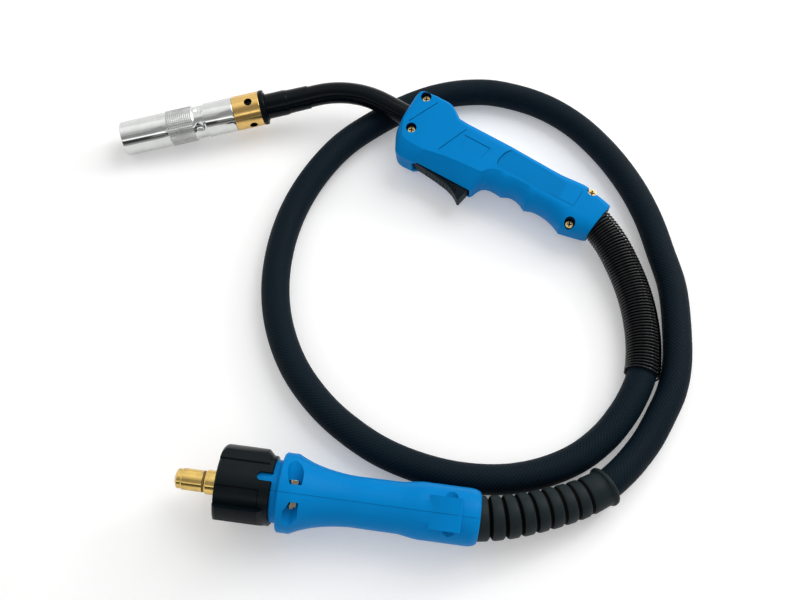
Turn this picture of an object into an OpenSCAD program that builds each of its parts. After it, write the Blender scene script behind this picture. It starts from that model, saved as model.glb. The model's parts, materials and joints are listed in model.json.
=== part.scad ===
/* [Cable] */
// Outside diameter of the hose-like power cable
cable_d = 20; // [16:0.5:21]
// Sides of the cable's cross-section
cable_sides = 12; // [8:1:16]

/* [Anti-kink spring] */
// Diameter of the spring's wire
spring_wire = 1.2; // [0.9:0.1:1.4]
// Outside diameter of the spring
spring_d = 24.4; // [24.2:0.1:24.8]
// Distance from one curl to the next
spring_pitch = 2.25; // [2:0.05:3]
// Length of the spring outside the handle
spring_len = 121; // [60:1:125]

/* [Bend sleeve] */
// Diameter of the sleeve where it leaves the plug
sleeve_d = 28.6; // [26:0.2:29]
// Diameter of the sleeve's plain cuff
sleeve_cuff_d = 24; // [23:0.2:26]
// Diameter of the lip at the sleeve's end
sleeve_lip_d = 27.2; // [25:0.2:27.4]
// Number of ribs
sleeve_ribs = 8; // [4:1:9]
// Distance from one groove to the next
sleeve_pitch = 9.2; // [7:0.1:9.4]
// Diameter at the bottom of the grooves between the ribs
sleeve_groove_d = 23.2; // [22.6:0.2:23.8]

/* [Gun neck] */
// Diameter of the neck's insulating jacket
neck_d = 16; // [15:0.1:17]
// Bend of the neck, in degrees
neck_angle = 43.4; // [40:0.2:50]
// Radius of the neck's bend
neck_bend_r = 70; // [60:1:80]
// Diameter of the copper tube in the neck
neck_tube_d = 11; // [9:0.5:12]
// Bore of the copper tube
neck_tube_bore = 6.5; // [5:0.1:7]

/* [Nozzle] */
// Outside diameter of the gas nozzle
nozzle_d = 26.5; // [25:0.1:28]
// Length of the gas nozzle
nozzle_len = 86.6; // [80:0.2:95]
// Bore of the gas nozzle at its mouth
nozzle_bore = 20; // [18:0.1:21]
// Diameter of the insulating bush that the nozzle slides on
bush_d = 21; // [20.4:0.1:21.4]
// Running clearance between nozzle and bush, on the radius
nozzle_gap = 0.06; // [0.02:0.01:0.1]
// Diameter of the brass ring behind the nozzle
ring_d = 26; // [25:0.1:27]
// Diameter of the holes in the brass ring
ring_hole_d = 6; // [4:0.1:7]
// Length of the contact tip outside its holder
tip_len = 36; // [30:1:40]
// Diameter of the contact tip
tip_d = 8; // [7:0.1:9]
// Bore of the contact tip for the welding wire
tip_bore = 1.4; // [1:0.1:1.8]

/* [Handle] */
// Half the thickness of the grip
grip_half = 16; // [15.5:0.1:17]
// Half the thickness of the head over the trigger
head_half = 17; // [16.5:0.1:18]
// Diameter of the handle's screw wells
well_d = 7.8; // [7:0.1:8]
// Diameter of the handle screws' heads
handle_head_d = 6; // [5.5:0.1:6.6]
// Diameter of the handle screws' shanks
handle_shank_d = 3; // [2.6:0.1:3.2]

/* [Trigger] */
// Width of the trigger lever
trigger_w = 12; // [10:0.1:12.4]
// Diameter of the trigger's hinge pin
trigger_pin_d = 3; // [2.5:0.1:3.5]
// Running clearance of the trigger on its pin, on the radius
trigger_gap = 0.05; // [0.02:0.01:0.1]
// Diameter of the switch's push button
button_d = 3; // [2.5:0.1:3.5]

/* [Plug housing] */
// Length from the middle of the nut to the housing's rear face
housing_end = 147.6; // [143:0.2:156]
// Diameter of the front flange
flange_d = 50; // [48:0.5:51]
// Diameter of the waist
waist_d = 32; // [31:0.2:34]
// Diameter of the rear grip
rear_d = 36; // [35:0.2:38]
// Diameter of the plug's clamp screws
clamp_screw_d = 3.6; // [3:0.1:4]

/* [Coupling nut] */
// Diameter of the nut over its ribs
nut_d = 51; // [49:0.2:52]
// Diameter of the nut between its ribs
nut_core_d = 44; // [43.8:0.2:46]
// Length of the nut
nut_len = 34.6; // [32:0.2:36]
// Number of wide grip ribs on the nut
nut_ribs = 3; // [2:1:4]
// Diameter of the housing's collar that the nut turns on
collar_d = 39.2; // [38:0.1:39.4]
// Running clearance of the nut on the collar, on the radius
nut_gap = 0.08; // [0.04:0.01:0.1]

/* [Plug contacts] */
// Diameter of the brass spigot's thick part
spigot_d = 15.5; // [15:0.1:16]
// Diameter of the spigot's guide part
spigot_guide_d = 13.8; // [13:0.1:14.4]
// Diameter of the spigot's tip
spigot_tip_d = 12.6; // [12:0.1:13]
// How far the spigot stands out of the nut
spigot_reach = 27.6; // [26:0.2:34]
// Bore of the liner nipple for the welding wire
liner_bore = 3; // [2:0.1:4]
// Diameter of the spring-loaded control pins
control_pin_d = 4; // [3:0.1:4.4]
// Running clearance of a control pin in its barrel, on the radius
pin_gap = 0.06; // [0.02:0.01:0.1]
// How far the control pins stand out
control_pin_reach = 8; // [6:0.5:9]

/* [Hidden] */

$fn = 64;
seat_gap = 0.05;       // radial clearance between fixed pieces that slide into each other
bend_gap = 0.32;       // radial clearance round pieces that begin to bend in their seats
loose_gap = 0.3;       // clearance round loose inner pieces and in front of moving ones
past = 1;              // how far a cut runs past the faces that it opens

// ---- where the two ends of the assembly lie on the floor
torch_at = [161, 61.2, 19.2];
torch_turn = [-10.64, -2.69, 149.1];
plug_at = [-81, -139.1, 25.95];
plug_turn = [14.1, 1.72, -7.3];

function turned_x(a, p) = [p.x, p.y * cos(a) - p.z * sin(a), p.y * sin(a) + p.z * cos(a)];
function turned_y(a, p) = [p.x * cos(a) + p.z * sin(a), p.y, p.z * cos(a) - p.x * sin(a)];
function turned_z(a, p) = [p.x * cos(a) - p.y * sin(a), p.x * sin(a) + p.y * cos(a), p.z];
function placed(p, at, turn) = at + turned_z(turn.z, turned_y(turn.y, turned_x(turn.x, p)));
module at_torch() { translate(torch_at) rotate(torch_turn) children(); }
module at_plug() { translate(plug_at) rotate(plug_turn) children(); }
module along_x(x = 0, y = 0, z = 0) { translate([x, y, z]) rotate([0, 90, 0]) children(); }
module along_y(x = 0, y = 0, z = 0) { translate([x, y, z]) rotate([-90, 0, 0]) children(); }
module ring(outer_r, inner_r, h) {
    rotate_extrude() translate([inner_r, 0]) square([outer_r - inner_r, h]);
}

// ---- skins: closed surfaces through a list of rings with equally many points
function ring_faces(rings, n, closed) = [
    for (i = [0 : rings - (closed ? 1 : 2)], j = [0 : n - 1])
        let (a = i * n + j, b = i * n + (j + 1) % n,
             c = ((i + 1) % rings) * n + (j + 1) % n, d = ((i + 1) % rings) * n + j)
            each [[a, b, c], [a, c, d]]];
function end_faces(rings, n) = [
    for (j = [1 : n - 2]) each [[0, j + 1, j], [(rings - 1) * n, (rings - 1) * n + j,
                                               (rings - 1) * n + j + 1]]];
module skin(rings, closed = false) {
    n = len(rings[0]);
    polyhedron([for (r = rings) each r], concat(ring_faces(len(rings), n, closed),
        closed ? [] : end_faces(len(rings), n)), convexity = 8);
}

// ---- the cable's route, from the plug to the handle, in steps of a few centimetres
floor_z = cable_d / 2 + 0.4;
route_start = 104;     // where the cable begins on the plug's axis
handle_dip = [-cos(21.5), sin(21.5), 0];   // the way that the cable leaves the handle
handle_exit = [-1, 5.8, 0];      // middle of the handle's rear face
handle_inset = 15;   // how deep the cable reaches into the handle
route = concat(
    [for (k = [0 : 3])
        placed([route_start + k / 3 * (housing_end - route_start), 0, 0], plug_at, plug_turn)],
    [[83, -156.8, 21.0], [102, -153, 19.3], [121.2, -147.6, 17.0], [135.6, -142, 15.2],
     [148, -135.2, 13.9], [157.8, -127.4, 12.8], [168.4, -116.8, 11.4], [180, -102.6, floor_z],
     [190.4, -85.8, floor_z], [199.8, -68, floor_z], [205.9, -46.5, floor_z], [208.9, -16, floor_z],
     [209, 11, floor_z], [204.5, 36, floor_z], [198, 67, floor_z], [187, 97, floor_z],
     [170.5, 126, floor_z], [149.5, 151, floor_z], [124, 169, floor_z], [94, 179.5, floor_z],
     [70.5, 181, floor_z], [47, 177, floor_z], [23.5, 167.5, floor_z], [-2, 152, floor_z],
     [-27, 131.5, floor_z], [-47, 105, floor_z], [-61.5, 75.5, floor_z], [-70, 44, floor_z],
     [-72.5, 12, floor_z], [-68.5, -19, floor_z], [-58, -48, floor_z], [-42.5, -72, floor_z],
     [-22.6, -92.6, floor_z], [5, -111.8, floor_z], [38.5, -124.8, floor_z], [72, -129.8, floor_z],
     [102, -127, floor_z], [129.3, -117, floor_z], [150.2, -102, 10.8], [165.2, -84.8, 11.4],
     [174.6, -69.6, 12], [180.2, -56.6, 12.5], [182.6, -43.8, 12.7], [183.6, -31.4, 12.7],
     [183.5, -19.2, 12.7], [182.5, -7.2, 12.9], [180.9, 2.8, 13.1], [178.6, 12.8, 13.5],
     [175.6, 22.4, 14.2], [172.2, 31.8, 15], [168.2, 41, 16], [163.8, 48.7, 16.9]],
    [for (k = [0 : 3])
        placed(handle_exit - k / 3 * handle_inset * handle_dip, torch_at, torch_turn)]);
spring_first = len(route) - 4;     // route point at the handle's rear face

function unit(v) = v / norm(v);
function blend(a, b, c, d, t) =
    0.5 * (2 * b + (c - a) * t + (2 * a - 5 * b + 4 * c - d) * t * t
           + (3 * b - a - 3 * c + d) * t * t * t);
function route_at(u) =
    let (last = len(route) - 1, i = min(max(floor(u), 0), last - 1), t = u - i)
        blend(route[max(i - 1, 0)], route[i], route[i + 1], route[min(i + 2, last)], t);
function route_way(u) = unit(route_at(u + 0.01) - route_at(u - 0.01));
function route_side(u) = unit(cross([0, 0, 1], route_way(u)));
function round_route(u, r, turn) =
    route_at(u) + r * (cos(turn) * route_side(u) + sin(turn) * cross(route_way(u), route_side(u)));
function ring_at(u, r, sides) = [for (k = [0 : sides - 1]) round_route(u, r, 360 * k / sides)];
// running length along the route, measured in short steps
steps_per_point = 10;
function sums(list, i = 0, total = 0) =
    i == len(list) ? [total] : concat([total], sums(list, i + 1, total + list[i]));
lengths = sums([for (k = [0 : (len(route) - 1) * steps_per_point - 1])
    norm(route_at((k + 1) / steps_per_point) - route_at(k / steps_per_point))]);
way_table = [for (k = [0 : len(lengths) - 1]) [lengths[k], k / steps_per_point]];
function u_at(s) = lookup(s, way_table);
exit_s = lengths[3 * steps_per_point];                     // plug housing's rear face
handle_s = lengths[spring_first * steps_per_point];        // handle's rear face
echo(cable_length = lengths[len(lengths) - 1], free_length = handle_s - exit_s);

// ---- handle outline: [place along the handle, value]
handle_len = 162.3;
neck_y = -1.5;
back_line = [[0, -8.9], [3, -9.4], [11, -10.9], [17, -12.4], [21, -12.9], [27, -12.5],
             [38, -11.8], [82, -13.2], [123.5, -13], [125, -13.3], [128.5, -15.8], [132.6, -18.4],
             [135, -19.4], [138, -19.9], [148, -19.8], [156, -19.2], [159.4, -18.6], [161.2, -17],
             [handle_len, -14.6]];
belly_line = [[0, 18.4], [2, 19.5], [12, 21.7], [21.5, 23.4], [24, 22], [27.5, 20.6], [31, 19.4],
              [35, 18.4], [39, 17.9], [43, 17.8], [46.5, 18.3], [49.3, 19.5], [51.8, 20.5],
              [54, 19.3], [57, 17.7], [60, 16.7], [63, 16.3], [66, 16.6], [69, 18], [71.6, 19.6],
              [74.5, 19.2], [78, 18.9], [81.5, 19], [84.5, 19.8], [87, 21.6], [88.8, 24.4],
              [90.2, 28.4], [91.6, 30.1], [95.5, 30.2], [136, 30.2], [138.8, 32.3], [148, 32.7],
              [150.5, 32.4], [152.8, 31.6], [155.2, 29.6], [160.2, 20.6], [handle_len, 15.5]];
half_line = [[0, 12.8], [3, 13.9], [12, 14.7], [24, 15.2], [45, grip_half], [90, grip_half + 0.4],
             [116, head_half], [157.5, head_half], [160.4, head_half - 0.8],
             [handle_len, head_half - 3.6]];
crease_line = [[0, 8], [20, 9.5], [45, 9], [80, 9], [86, 11.5], [89.6, 16.6], [115, 18.6],
               [131.5, 21.4], [136, 22.5], [150, 22], [154.5, 20.5], [158.5, 12], [handle_len, 3]];
foot_line = [[0, 5], [20, 6], [30, 5], [84, 5], [90, 7.4], [131.5, 7.4], [136, 9.4], [150, 9.4],
             [handle_len, 6.5]];
round_line = [[0, 6], [20, 5], [45, 7], [118, 6], [130, 3], [handle_len, 2]];
fullness_line = [[0, 0.8], [20, 0.7], [84, 0.6], [90, 0.12], [131.5, 0.1], [136, 0.3],
                 [handle_len, 0.3]];
// the rear face leans with the cable: how far it goes forward per mm towards the belly
rear_lean = 0.15;
lean_reach = 20;
function leaned(x, y) = x < lean_reach ? x + rear_lean * (y - 6.6) * (1 - x / lean_reach) : x;
corner_steps = 3;
belly_steps = 5;

function bent(a, b, c, t) = (1 - t) * (1 - t) * a + 2 * t * (1 - t) * b + t * t * c;
// half of the cross-section at x, as [y, z] points from the back round to the belly
function half_section(x) =
    let (back = lookup(x, back_line), belly = lookup(x, belly_line), half = lookup(x, half_line),
         crease = lookup(x, crease_line), foot = lookup(x, foot_line), r = lookup(x, round_line),
         full = lookup(x, fullness_line),
         straight = [(crease + belly) / 2, (half + foot) / 2],
         knee = straight + full * ([belly, half] - straight))
    concat([[back, 0], [back, half - r]],
        [for (k = [1 : corner_steps]) let (a = 90 * k / (corner_steps + 1))
            [back + r - r * cos(a), half - r + r * sin(a)]],
        [[back + r, half]],
        [for (k = [0 : belly_steps]) bent([crease, half], knee, [belly, foot], k / belly_steps)],
        [[belly, 0]]);
handle_stations = concat([0, 0.8, 2, 5, 9, 14, 18], [for (p = belly_line) if (p.x > 20 && p.x < 96) p.x],
    [101, 108, 117], [for (p = back_line) if (p.x > 120 && p.x < 135.5) p.x],
    [136, 138.8, 143, 148, 150.5, 152.8, 155.2, 157.6, 160.2, 161.4, handle_len]);
module handle_half(side) {
    rings = [for (x = handle_stations) let (half = half_section(x))
        [for (p = side > 0 ? half : turned_round(half))
            [leaned(x, p.x), p.x, side * p.y]]];
    skin(rings);
}

// ---- fixings of the handle: [x, y, height of the screw's seat]
handle_screw_spots = [[154.4, -15, 10], [151.4, 11.8, 10.4], [13.6, -10.6, 7], [16.6, 17.9, 5.5]];
handle_head_h = 2.4;
shank_depth = 9;       // how far the screws reach below the parting plane
insert_d = 4.6;
insert_h = 6;
switch_size = [20, 10, 6.4];
switch_at = [98.2, 9.5];
button_x = 108.2;
trigger_pin_at = [134.2, 26];
trigger_reach = 41;    // from the hinge pin to the lever's rear end
trigger_inner_y = 24.8;
// finger face from the hinge to the tip, and round the tip: [way from the hinge pin, y]
trigger_face = [[4.8, 30.6], [-5, 31.4], [-14.5, 32.4], [-25, 34], [-31.4, 36.2], [-34.4, 38],
                [-37.6, 40.4], [-38.8, 40.2], [-40, 34], [-trigger_reach, 29]];
pocket_x = [trigger_pin_at.x - trigger_reach - 1.2, trigger_pin_at.x + 5.6];
pin_len = 20;
conduit_d = 11;
block_d = 19;
block_x = [98, 132];
ferrule_d = 21.2;
conduit_start = 16.2;
leads_room = 5.4;
ferrule_s = [8.4, 16.5];   // along the cable's way into the handle
spring_seat = 8;       // depth of the spring's socket in the handle

module handle_way() {
    translate(handle_exit) rotate([0, 0, atan2(-handle_dip.y, -handle_dip.x)]) rotate([0, 90, 0])
        children();
}
module handle_hollows() {
    // neck, power block and conduit, one behind the other
    along_x(block_x[1] - past, neck_y) cylinder(d = neck_d + 2 * seat_gap, h = 50);
    along_x(block_x[0] - loose_gap, neck_y)
        cylinder(d = block_d + 2 * seat_gap, h = block_x[1] - block_x[0] + loose_gap);
    along_x(conduit_start - past, neck_y + 1)
        cylinder(d = conduit_d + 4, h = block_x[0] - conduit_start + past);
    // cable, ferrule and spring
    handle_way() {
        translate([0, 0, -10]) cylinder(d = spring_d + 2 * bend_gap, h = spring_seat + 10);
        cylinder(d = ferrule_d + 2 * seat_gap, h = ferrule_s[1] + past);
    }
    // switch, its leads and the trigger's slot
    translate([84, neck_y, -leads_room / 2]) cube([14, 14.6, leads_room]);
    translate([switch_at.x - loose_gap, neck_y, -switch_size.z / 2 - seat_gap])
        cube([switch_size.x + 2 * loose_gap, switch_at.y + switch_size.y - neck_y,
              switch_size.z + 2 * seat_gap]);
    translate([pocket_x[0], switch_at.y + switch_size.y, -trigger_w / 2 - loose_gap])
        cube([pocket_x[1] - pocket_x[0], 20, trigger_w + 2 * loose_gap]);
    translate([trigger_pin_at.x, trigger_pin_at.y, -pin_len / 2])
        cylinder(d = trigger_pin_d + 2 * seat_gap, h = pin_len);
}

module gas_nozzle_profile() {
    r = nozzle_d / 2;
    waist_r = r - 1.1;
    inner = bush_d / 2 + nozzle_gap;
    polygon([[nozzle_bore / 2, nozzle_len - 1], [nozzle_bore / 2, nozzle_socket + 2],
             [inner, nozzle_socket], [inner, 0], [r - 0.9, 0], [r - 0.3, 0.6], [r - 0.3, 22],
             [waist_r, 23.2], [waist_r, 30], [r, 31.4], [r, 50.6], [r - 0.25, 50.8],
             [r - 0.25, nozzle_len - 0.8], [r - 1, nozzle_len], [nozzle_bore / 2 + 0.8, nozzle_len]]);
}
// places along the neck's end, from the bend's end on
end_sleeve_s = [6, 39];
end_sleeve_d = 19;
washer_s = [end_sleeve_s[1], 43.5];
ring_s = [washer_s[1], 64];
nozzle_s = ring_s[1];
nozzle_socket = 19.5;
bush_s = [washer_s[1], nozzle_s + nozzle_socket - 0.7];
holder_d = 14;
holder_s = [36, 107];
tip_stub = 7;
bend_start = 184.4;
jacket_start = 134;
tube_start = block_x[1] - 6;

module at_neck_end() {
    translate([bend_start + neck_bend_r * sin(neck_angle),
               neck_y + neck_bend_r * (1 - cos(neck_angle)), 0])
        rotate([0, 0, neck_angle]) rotate([0, 90, 0]) children();
}
neck_sides = 32;
neck_steps = 9;
// ring of the bent neck: start of the straight part, then the bend, then the end
function neck_ring(middle, way, r) = [for (k = [0 : neck_sides - 1])
    let (a = 360 * k / neck_sides) middle + r * [-sin(way) * cos(a), cos(way) * cos(a), sin(a)]];
function neck_rings(start, end_s, r) = concat(
    [neck_ring([start, neck_y, 0], 0, r)],
    [for (k = [0 : neck_steps]) let (a = neck_angle * k / neck_steps)
        neck_ring([bend_start + neck_bend_r * sin(a), neck_y + neck_bend_r * (1 - cos(a)), 0], a, r)],
    [neck_ring([bend_start + neck_bend_r * sin(neck_angle) + end_s * cos(neck_angle),
                neck_y + neck_bend_r * (1 - cos(neck_angle)) + end_s * sin(neck_angle), 0],
               neck_angle, r)]);
function turned_round(list) = [for (i = [len(list) - 1 : -1 : 0]) list[i]];
module neck_run(start, end_s, d, bore) {
    skin(concat(neck_rings(start, end_s, d / 2), turned_round(neck_rings(start, end_s, bore / 2))),
        closed = true);
}

module gas_nozzle() {
    color([0.84, 0.85, 0.86]) at_torch() at_neck_end() translate([0, 0, nozzle_s + seat_gap])
        difference() {
            rotate_extrude($fn = 96) gas_nozzle_profile();
            // crimp marks that pinch the nozzle's waist
            for (a = [30 : 60 : 359]) rotate([0, 0, a]) translate([nozzle_d / 2 + 1.3, 0, 26.6])
                sphere(d = 6, $fn = 32);
        }
}
module contact_tip() {
    color([0.72, 0.42, 0.26]) at_torch() at_neck_end() translate([0, 0, holder_s[1] - tip_stub])
        difference() {
            rotate_extrude() polygon([[0, 0], [tip_d / 2 - 1, 0], [tip_d / 2 - 1, tip_stub],
                [tip_d / 2, tip_stub], [tip_d / 2, tip_stub + tip_len - 5],
                [tip_d / 2 - 1.2, tip_stub + tip_len], [0, tip_stub + tip_len]]);
            translate([0, 0, -past]) cylinder(d = tip_bore, h = tip_stub + tip_len + 2 * past);
        }
}
module tip_holder() {
    // gas passes from the neck through the holder's bore and out of the ring of small holes
    color([0.78, 0.62, 0.28]) at_torch() at_neck_end() difference() {
        rotate_extrude() polygon([[0, holder_s[0] + seat_gap], [holder_d / 2, holder_s[0] + seat_gap],
            [holder_d / 2, holder_s[1] - 6], [tip_d / 2 + 1, holder_s[1]], [0, holder_s[1]]]);
        translate([0, 0, holder_s[0] - past])
            cylinder(d = neck_tube_bore, h = holder_s[1] - holder_s[0] - tip_stub + past);
        translate([0, 0, holder_s[1] - tip_stub])
            cylinder(d = tip_d - 2 + 2 * seat_gap, h = tip_stub + past);
        for (a = [0 : 60 : 359]) rotate([0, 0, a]) translate([0, 0, bush_s[1] + 6])
            rotate([0, 90, 0]) cylinder(d = 2, h = holder_d, $fn = 24);
    }
}
module nozzle_bush() {
    color([0.09, 0.09, 0.1]) at_torch() at_neck_end() translate([0, 0, bush_s[0]])
        ring(bush_d / 2, holder_d / 2 + seat_gap, bush_s[1] - bush_s[0]);
}
module brass_ring() {
    color([0.85, 0.66, 0.28]) at_torch() at_neck_end() translate([0, 0, ring_s[0]])
        difference() {
            rotate_extrude($fn = 96) polygon([[bush_d / 2 + seat_gap, 0], [ring_d / 2 - 0.4, 0],
                [ring_d / 2, 0.4], [ring_d / 2, ring_s[1] - ring_s[0] - 0.3],
                [ring_d / 2 - 0.3, ring_s[1] - ring_s[0]],
                [bush_d / 2 + seat_gap, ring_s[1] - ring_s[0]]]);
            for (a = [3 : 90 : 273]) rotate([0, 0, a]) translate([0, 0, 8])
                rotate([0, 90, 0]) cylinder(d = ring_hole_d, h = ring_d, $fn = 48);
        }
}
module insulating_washer() {
    color([0.07, 0.07, 0.08]) at_torch() at_neck_end() translate([0, 0, washer_s[0]]) {
        rotate_extrude($fn = 96) polygon([[holder_d / 2 + seat_gap, 0], [ring_d / 2 - 1.4, 0],
            [ring_d / 2 - 1.4, 1.4], [ring_d / 2 + 0.1, 1.4], [ring_d / 2 + 0.1, 3.9],
            [ring_d / 2 - 0.4, washer_s[1] - washer_s[0]],
            [holder_d / 2 + seat_gap, washer_s[1] - washer_s[0]]]);
    }
}
module neck_tube() {
    color([0.72, 0.45, 0.3]) at_torch()
        neck_run(tube_start, holder_s[0], neck_tube_d, neck_tube_bore);
}
module neck_jacket() {
    color([0.06, 0.06, 0.07]) at_torch()
        neck_run(jacket_start, holder_s[0], neck_d, neck_tube_d + 2 * seat_gap);
}
module neck_end_sleeve() {
    color([0.06, 0.06, 0.07]) at_torch() at_neck_end() rotate_extrude() polygon([
        [neck_d / 2 + seat_gap, end_sleeve_s[0]], [neck_d / 2 + 0.7, end_sleeve_s[0]],
        [neck_d / 2 + 0.9, 22], [end_sleeve_d / 2 - 0.2, 23.5], [end_sleeve_d / 2, 25],
        [end_sleeve_d / 2, end_sleeve_s[1]], [neck_d / 2 + seat_gap, end_sleeve_s[1]]]);
}

// long panel, thumb rest and two fine lines pressed into the handle's flat sides
relief_depth = 0.5;
module grip_relief() {
    translate([0, 0, grip_half - relief_depth]) linear_extrude(4)
        polygon([[19.5, -6.6], [79, -9.8], [82.4, -4], [83.6, 1.4], [83.4, 5.2], [80.6, 7.4],
                 [63, 6.8], [42, 7.6], [19.8, 6.6]]);
    translate([92.6, -2.4, grip_half + 0.1]) rotate([0, -1.3, 0])
        linear_extrude(4) polygon([[0, 0], [21.8, 0], [18.6, 9.4], [2.8, 9.8]]);
    fine_line([144.4, -14.9], [155.6, 8.1]);
    fine_line([115.4, -6.7], [125.3, 17]);
}
module fine_line(a, b) {
    translate([a.x, a.y, head_half - relief_depth]) rotate([0, 0, atan2(b.y - a.y, b.x - a.x)])
        translate([0, -0.25, 0]) cube([norm(b - a), 0.5, 4]);
}
module handle_shell(side) {
    difference() {
        handle_half(side);
        handle_hollows();
        mirror([0, 0, side > 0 ? 0 : 1]) grip_relief();
        for (s = handle_screw_spots) translate([s.x, s.y, 0]) {
            if (side > 0) {
                translate([0, 0, s.z]) cylinder(d = well_d, h = head_half);
                translate([0, 0, -past])
                    cylinder(d = handle_shank_d + 2 * loose_gap, h = head_half);
            } else translate([0, 0, -insert_h - loose_gap])
                cylinder(d = insert_d + 2 * seat_gap, h = insert_h + loose_gap + past);
            if (side < 0) translate([0, 0, -shank_depth - loose_gap])
                cylinder(d = handle_shank_d + 2 * loose_gap, h = head_half);
        }
    }
}
module handle_top_shell() { color([0.02, 0.5, 0.8]) at_torch() handle_shell(1); }
module handle_bottom_shell() { color([0.02, 0.48, 0.78]) at_torch() handle_shell(-1); }
module handle_screws() {
    color([0.8, 0.68, 0.4]) at_torch() for (s = handle_screw_spots) translate([s.x, s.y, 0])
        difference() {
            union() {
                translate([0, 0, s.z]) cylinder(d = handle_head_d, h = handle_head_h);
                translate([0, 0, -shank_depth]) cylinder(d = handle_shank_d, h = shank_depth + s.z);
            }
            for (a = [20, 110]) translate([0, 0, s.z + handle_head_h]) rotate([0, 0, a])
                cube([handle_head_d * 0.62, 0.9, 2.2], center = true);
        }
}
module handle_inserts() {
    color([0.78, 0.62, 0.28]) at_torch() for (s = handle_screw_spots)
        translate([s.x, s.y, -insert_h]) ring(insert_d / 2, handle_shank_d / 2 + seat_gap, insert_h);
}

module trigger() {
    color([0.1, 0.11, 0.12]) at_torch() difference() {
        union() {
            translate([trigger_pin_at.x, 0, -trigger_w / 2]) linear_extrude(trigger_w)
                polygon(concat(trigger_face, [[-trigger_reach, trigger_inner_y + 0.7],
                    [5 - trigger_reach, trigger_inner_y], [-4.4, trigger_inner_y],
                    [-3, trigger_inner_y - 1.8], [3, trigger_inner_y - 1.8], [4.6, 25]]));
            translate([trigger_pin_at.x, trigger_pin_at.y, -trigger_w / 2])
                cylinder(d = trigger_pin_d + 4, h = trigger_w);
        }
        translate([trigger_pin_at.x, trigger_pin_at.y, -trigger_w])
            cylinder(d = trigger_pin_d + 2 * trigger_gap, h = 2 * trigger_w);
        // grip lines across the finger face
        for (x = [-29 : 3.2 : -6]) translate([trigger_pin_at.x + x, lookup(x, trigger_face), 0])
            rotate([0, 0, 45]) cube([0.7, 0.7, trigger_w - 3], center = true);
    }
}
module trigger_pin() {
    color([0.7, 0.7, 0.72]) at_torch() translate([trigger_pin_at.x, trigger_pin_at.y, -pin_len / 2])
        cylinder(d = trigger_pin_d, h = pin_len);
}
module micro_switch() {
    color([0.12, 0.12, 0.13]) at_torch() difference() {
        translate([switch_at.x, switch_at.y, -switch_size.z / 2]) cube(switch_size);
        along_y(button_x, switch_at.y + 3) cylinder(d = button_d + 0.12, h = 20);
        for (x = [4.5, switch_size.x - 4.5]) translate([switch_at.x + x, switch_at.y + 3, -10])
            cylinder(d = 2.3, h = 20, $fn = 32);
    }
}
module switch_button() {
    color([0.75, 0.15, 0.12]) at_torch() along_y(button_x, switch_at.y + 6.2)
        cylinder(d = button_d, h = trigger_inner_y - loose_gap - switch_at.y - 6.2);
}
// a lead that runs more or less along +X, with an upright ring at each point
module lead(points, d) {
    skin([for (p = points) [for (k = [0 : 7]) p + d / 2 * [0, cos(45 * k), sin(45 * k)]]]);
}
lead_d = 1.4;
module switch_leads() {
    color([0.6, 0.1, 0.1]) at_torch() for (z = [-1.7, 1.7])
        lead([[30, 5.7, z], [86, 5.9, z], [switch_at.x - 0.1, 12, z]], lead_d);
}
module power_block() {
    color([0.8, 0.64, 0.3]) at_torch() difference() {
        along_x(block_x[0], neck_y) cylinder(d = block_d, h = block_x[1] - block_x[0]);
        along_x(tube_start, neck_y)
            cylinder(d = neck_tube_d + 2 * seat_gap, h = block_x[1] - tube_start + past);
        along_x(block_x[0] - past, neck_y)
            cylinder(d = neck_tube_bore, h = block_x[1] - block_x[0] + 2 * past);
        // spanner flats
        for (z = [-1, 1]) translate([block_x[0] + 10, neck_y, z * (block_d / 2 + 3.6)])
            cube([12, block_d, 10], center = true);
    }
}
module gas_conduit() {
    color([0.55, 0.33, 0.2]) at_torch() difference() {
        along_x(conduit_start, neck_y) cylinder(d = conduit_d - 2, h = block_x[0] - conduit_start);
        along_x(conduit_start - past, neck_y)
            cylinder(d = neck_tube_bore - 1, h = block_x[0] - conduit_start + 2 * past);
    }
}
module handle_ferrule() {
    color([0.78, 0.62, 0.28]) at_torch() handle_way() difference() {
        translate([0, 0, ferrule_s[0]]) cylinder(d = ferrule_d, h = ferrule_s[1] - ferrule_s[0]);
        cylinder(d = cable_d + 2 * seat_gap, h = handle_inset + seat_gap);
        cylinder(d = neck_tube_bore, h = 40);
    }
}

// ---- wound and swept pieces
curl_rings = 8;
wire_sides = 6;
spring_turns = (spring_len + spring_seat - 2 * spring_wire) / spring_pitch;
spring_r = (spring_d - spring_wire) / 2;
function curl_point(turns) =
    let (s = handle_s + spring_seat - spring_wire - spring_pitch * turns)
        round_route(u_at(s), spring_r, 360 * turns);
curl_points = [for (k = [0 : round(spring_turns * curl_rings)]) curl_point(k / curl_rings)];
spring_points = concat([curl_points[0] + spring_wire * unit(curl_points[0] - curl_points[1])],
    curl_points, [let (n = len(curl_points) - 1)
        curl_points[n] + spring_wire * unit(curl_points[n] - curl_points[n - 1])]);
function wire_ring(points, i, d, sides) =
    let (a = points[max(i - 1, 0)], b = points[min(i + 1, len(points) - 1)], way = unit(b - a),
         side = unit(cross(route_way(u_at(handle_s - spring_pitch * i / curl_rings)), way)),
         up = cross(way, side))
        [for (k = [0 : sides - 1])
            points[i] + d / 2 * (cos(360 * k / sides) * side + sin(360 * k / sides) * up)];
// least distance between the wire of one curl and the next, over points one turn apart
self_gap = min([for (i = [0 : len(curl_points) - 1 - curl_rings])
    min([for (j = [-2 : 2]) let (k = min(i + curl_rings + j, len(curl_points) - 1))
        norm(curl_points[i] - curl_points[k])])]) - spring_wire;
echo(spring_self_gap = self_gap, curls = spring_turns);
module strain_spring() {
    color([0.05, 0.05, 0.06]) skin([for (i = [0 : len(spring_points) - 1])
        wire_ring(spring_points, i, spring_wire, wire_sides)]);
}
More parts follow.
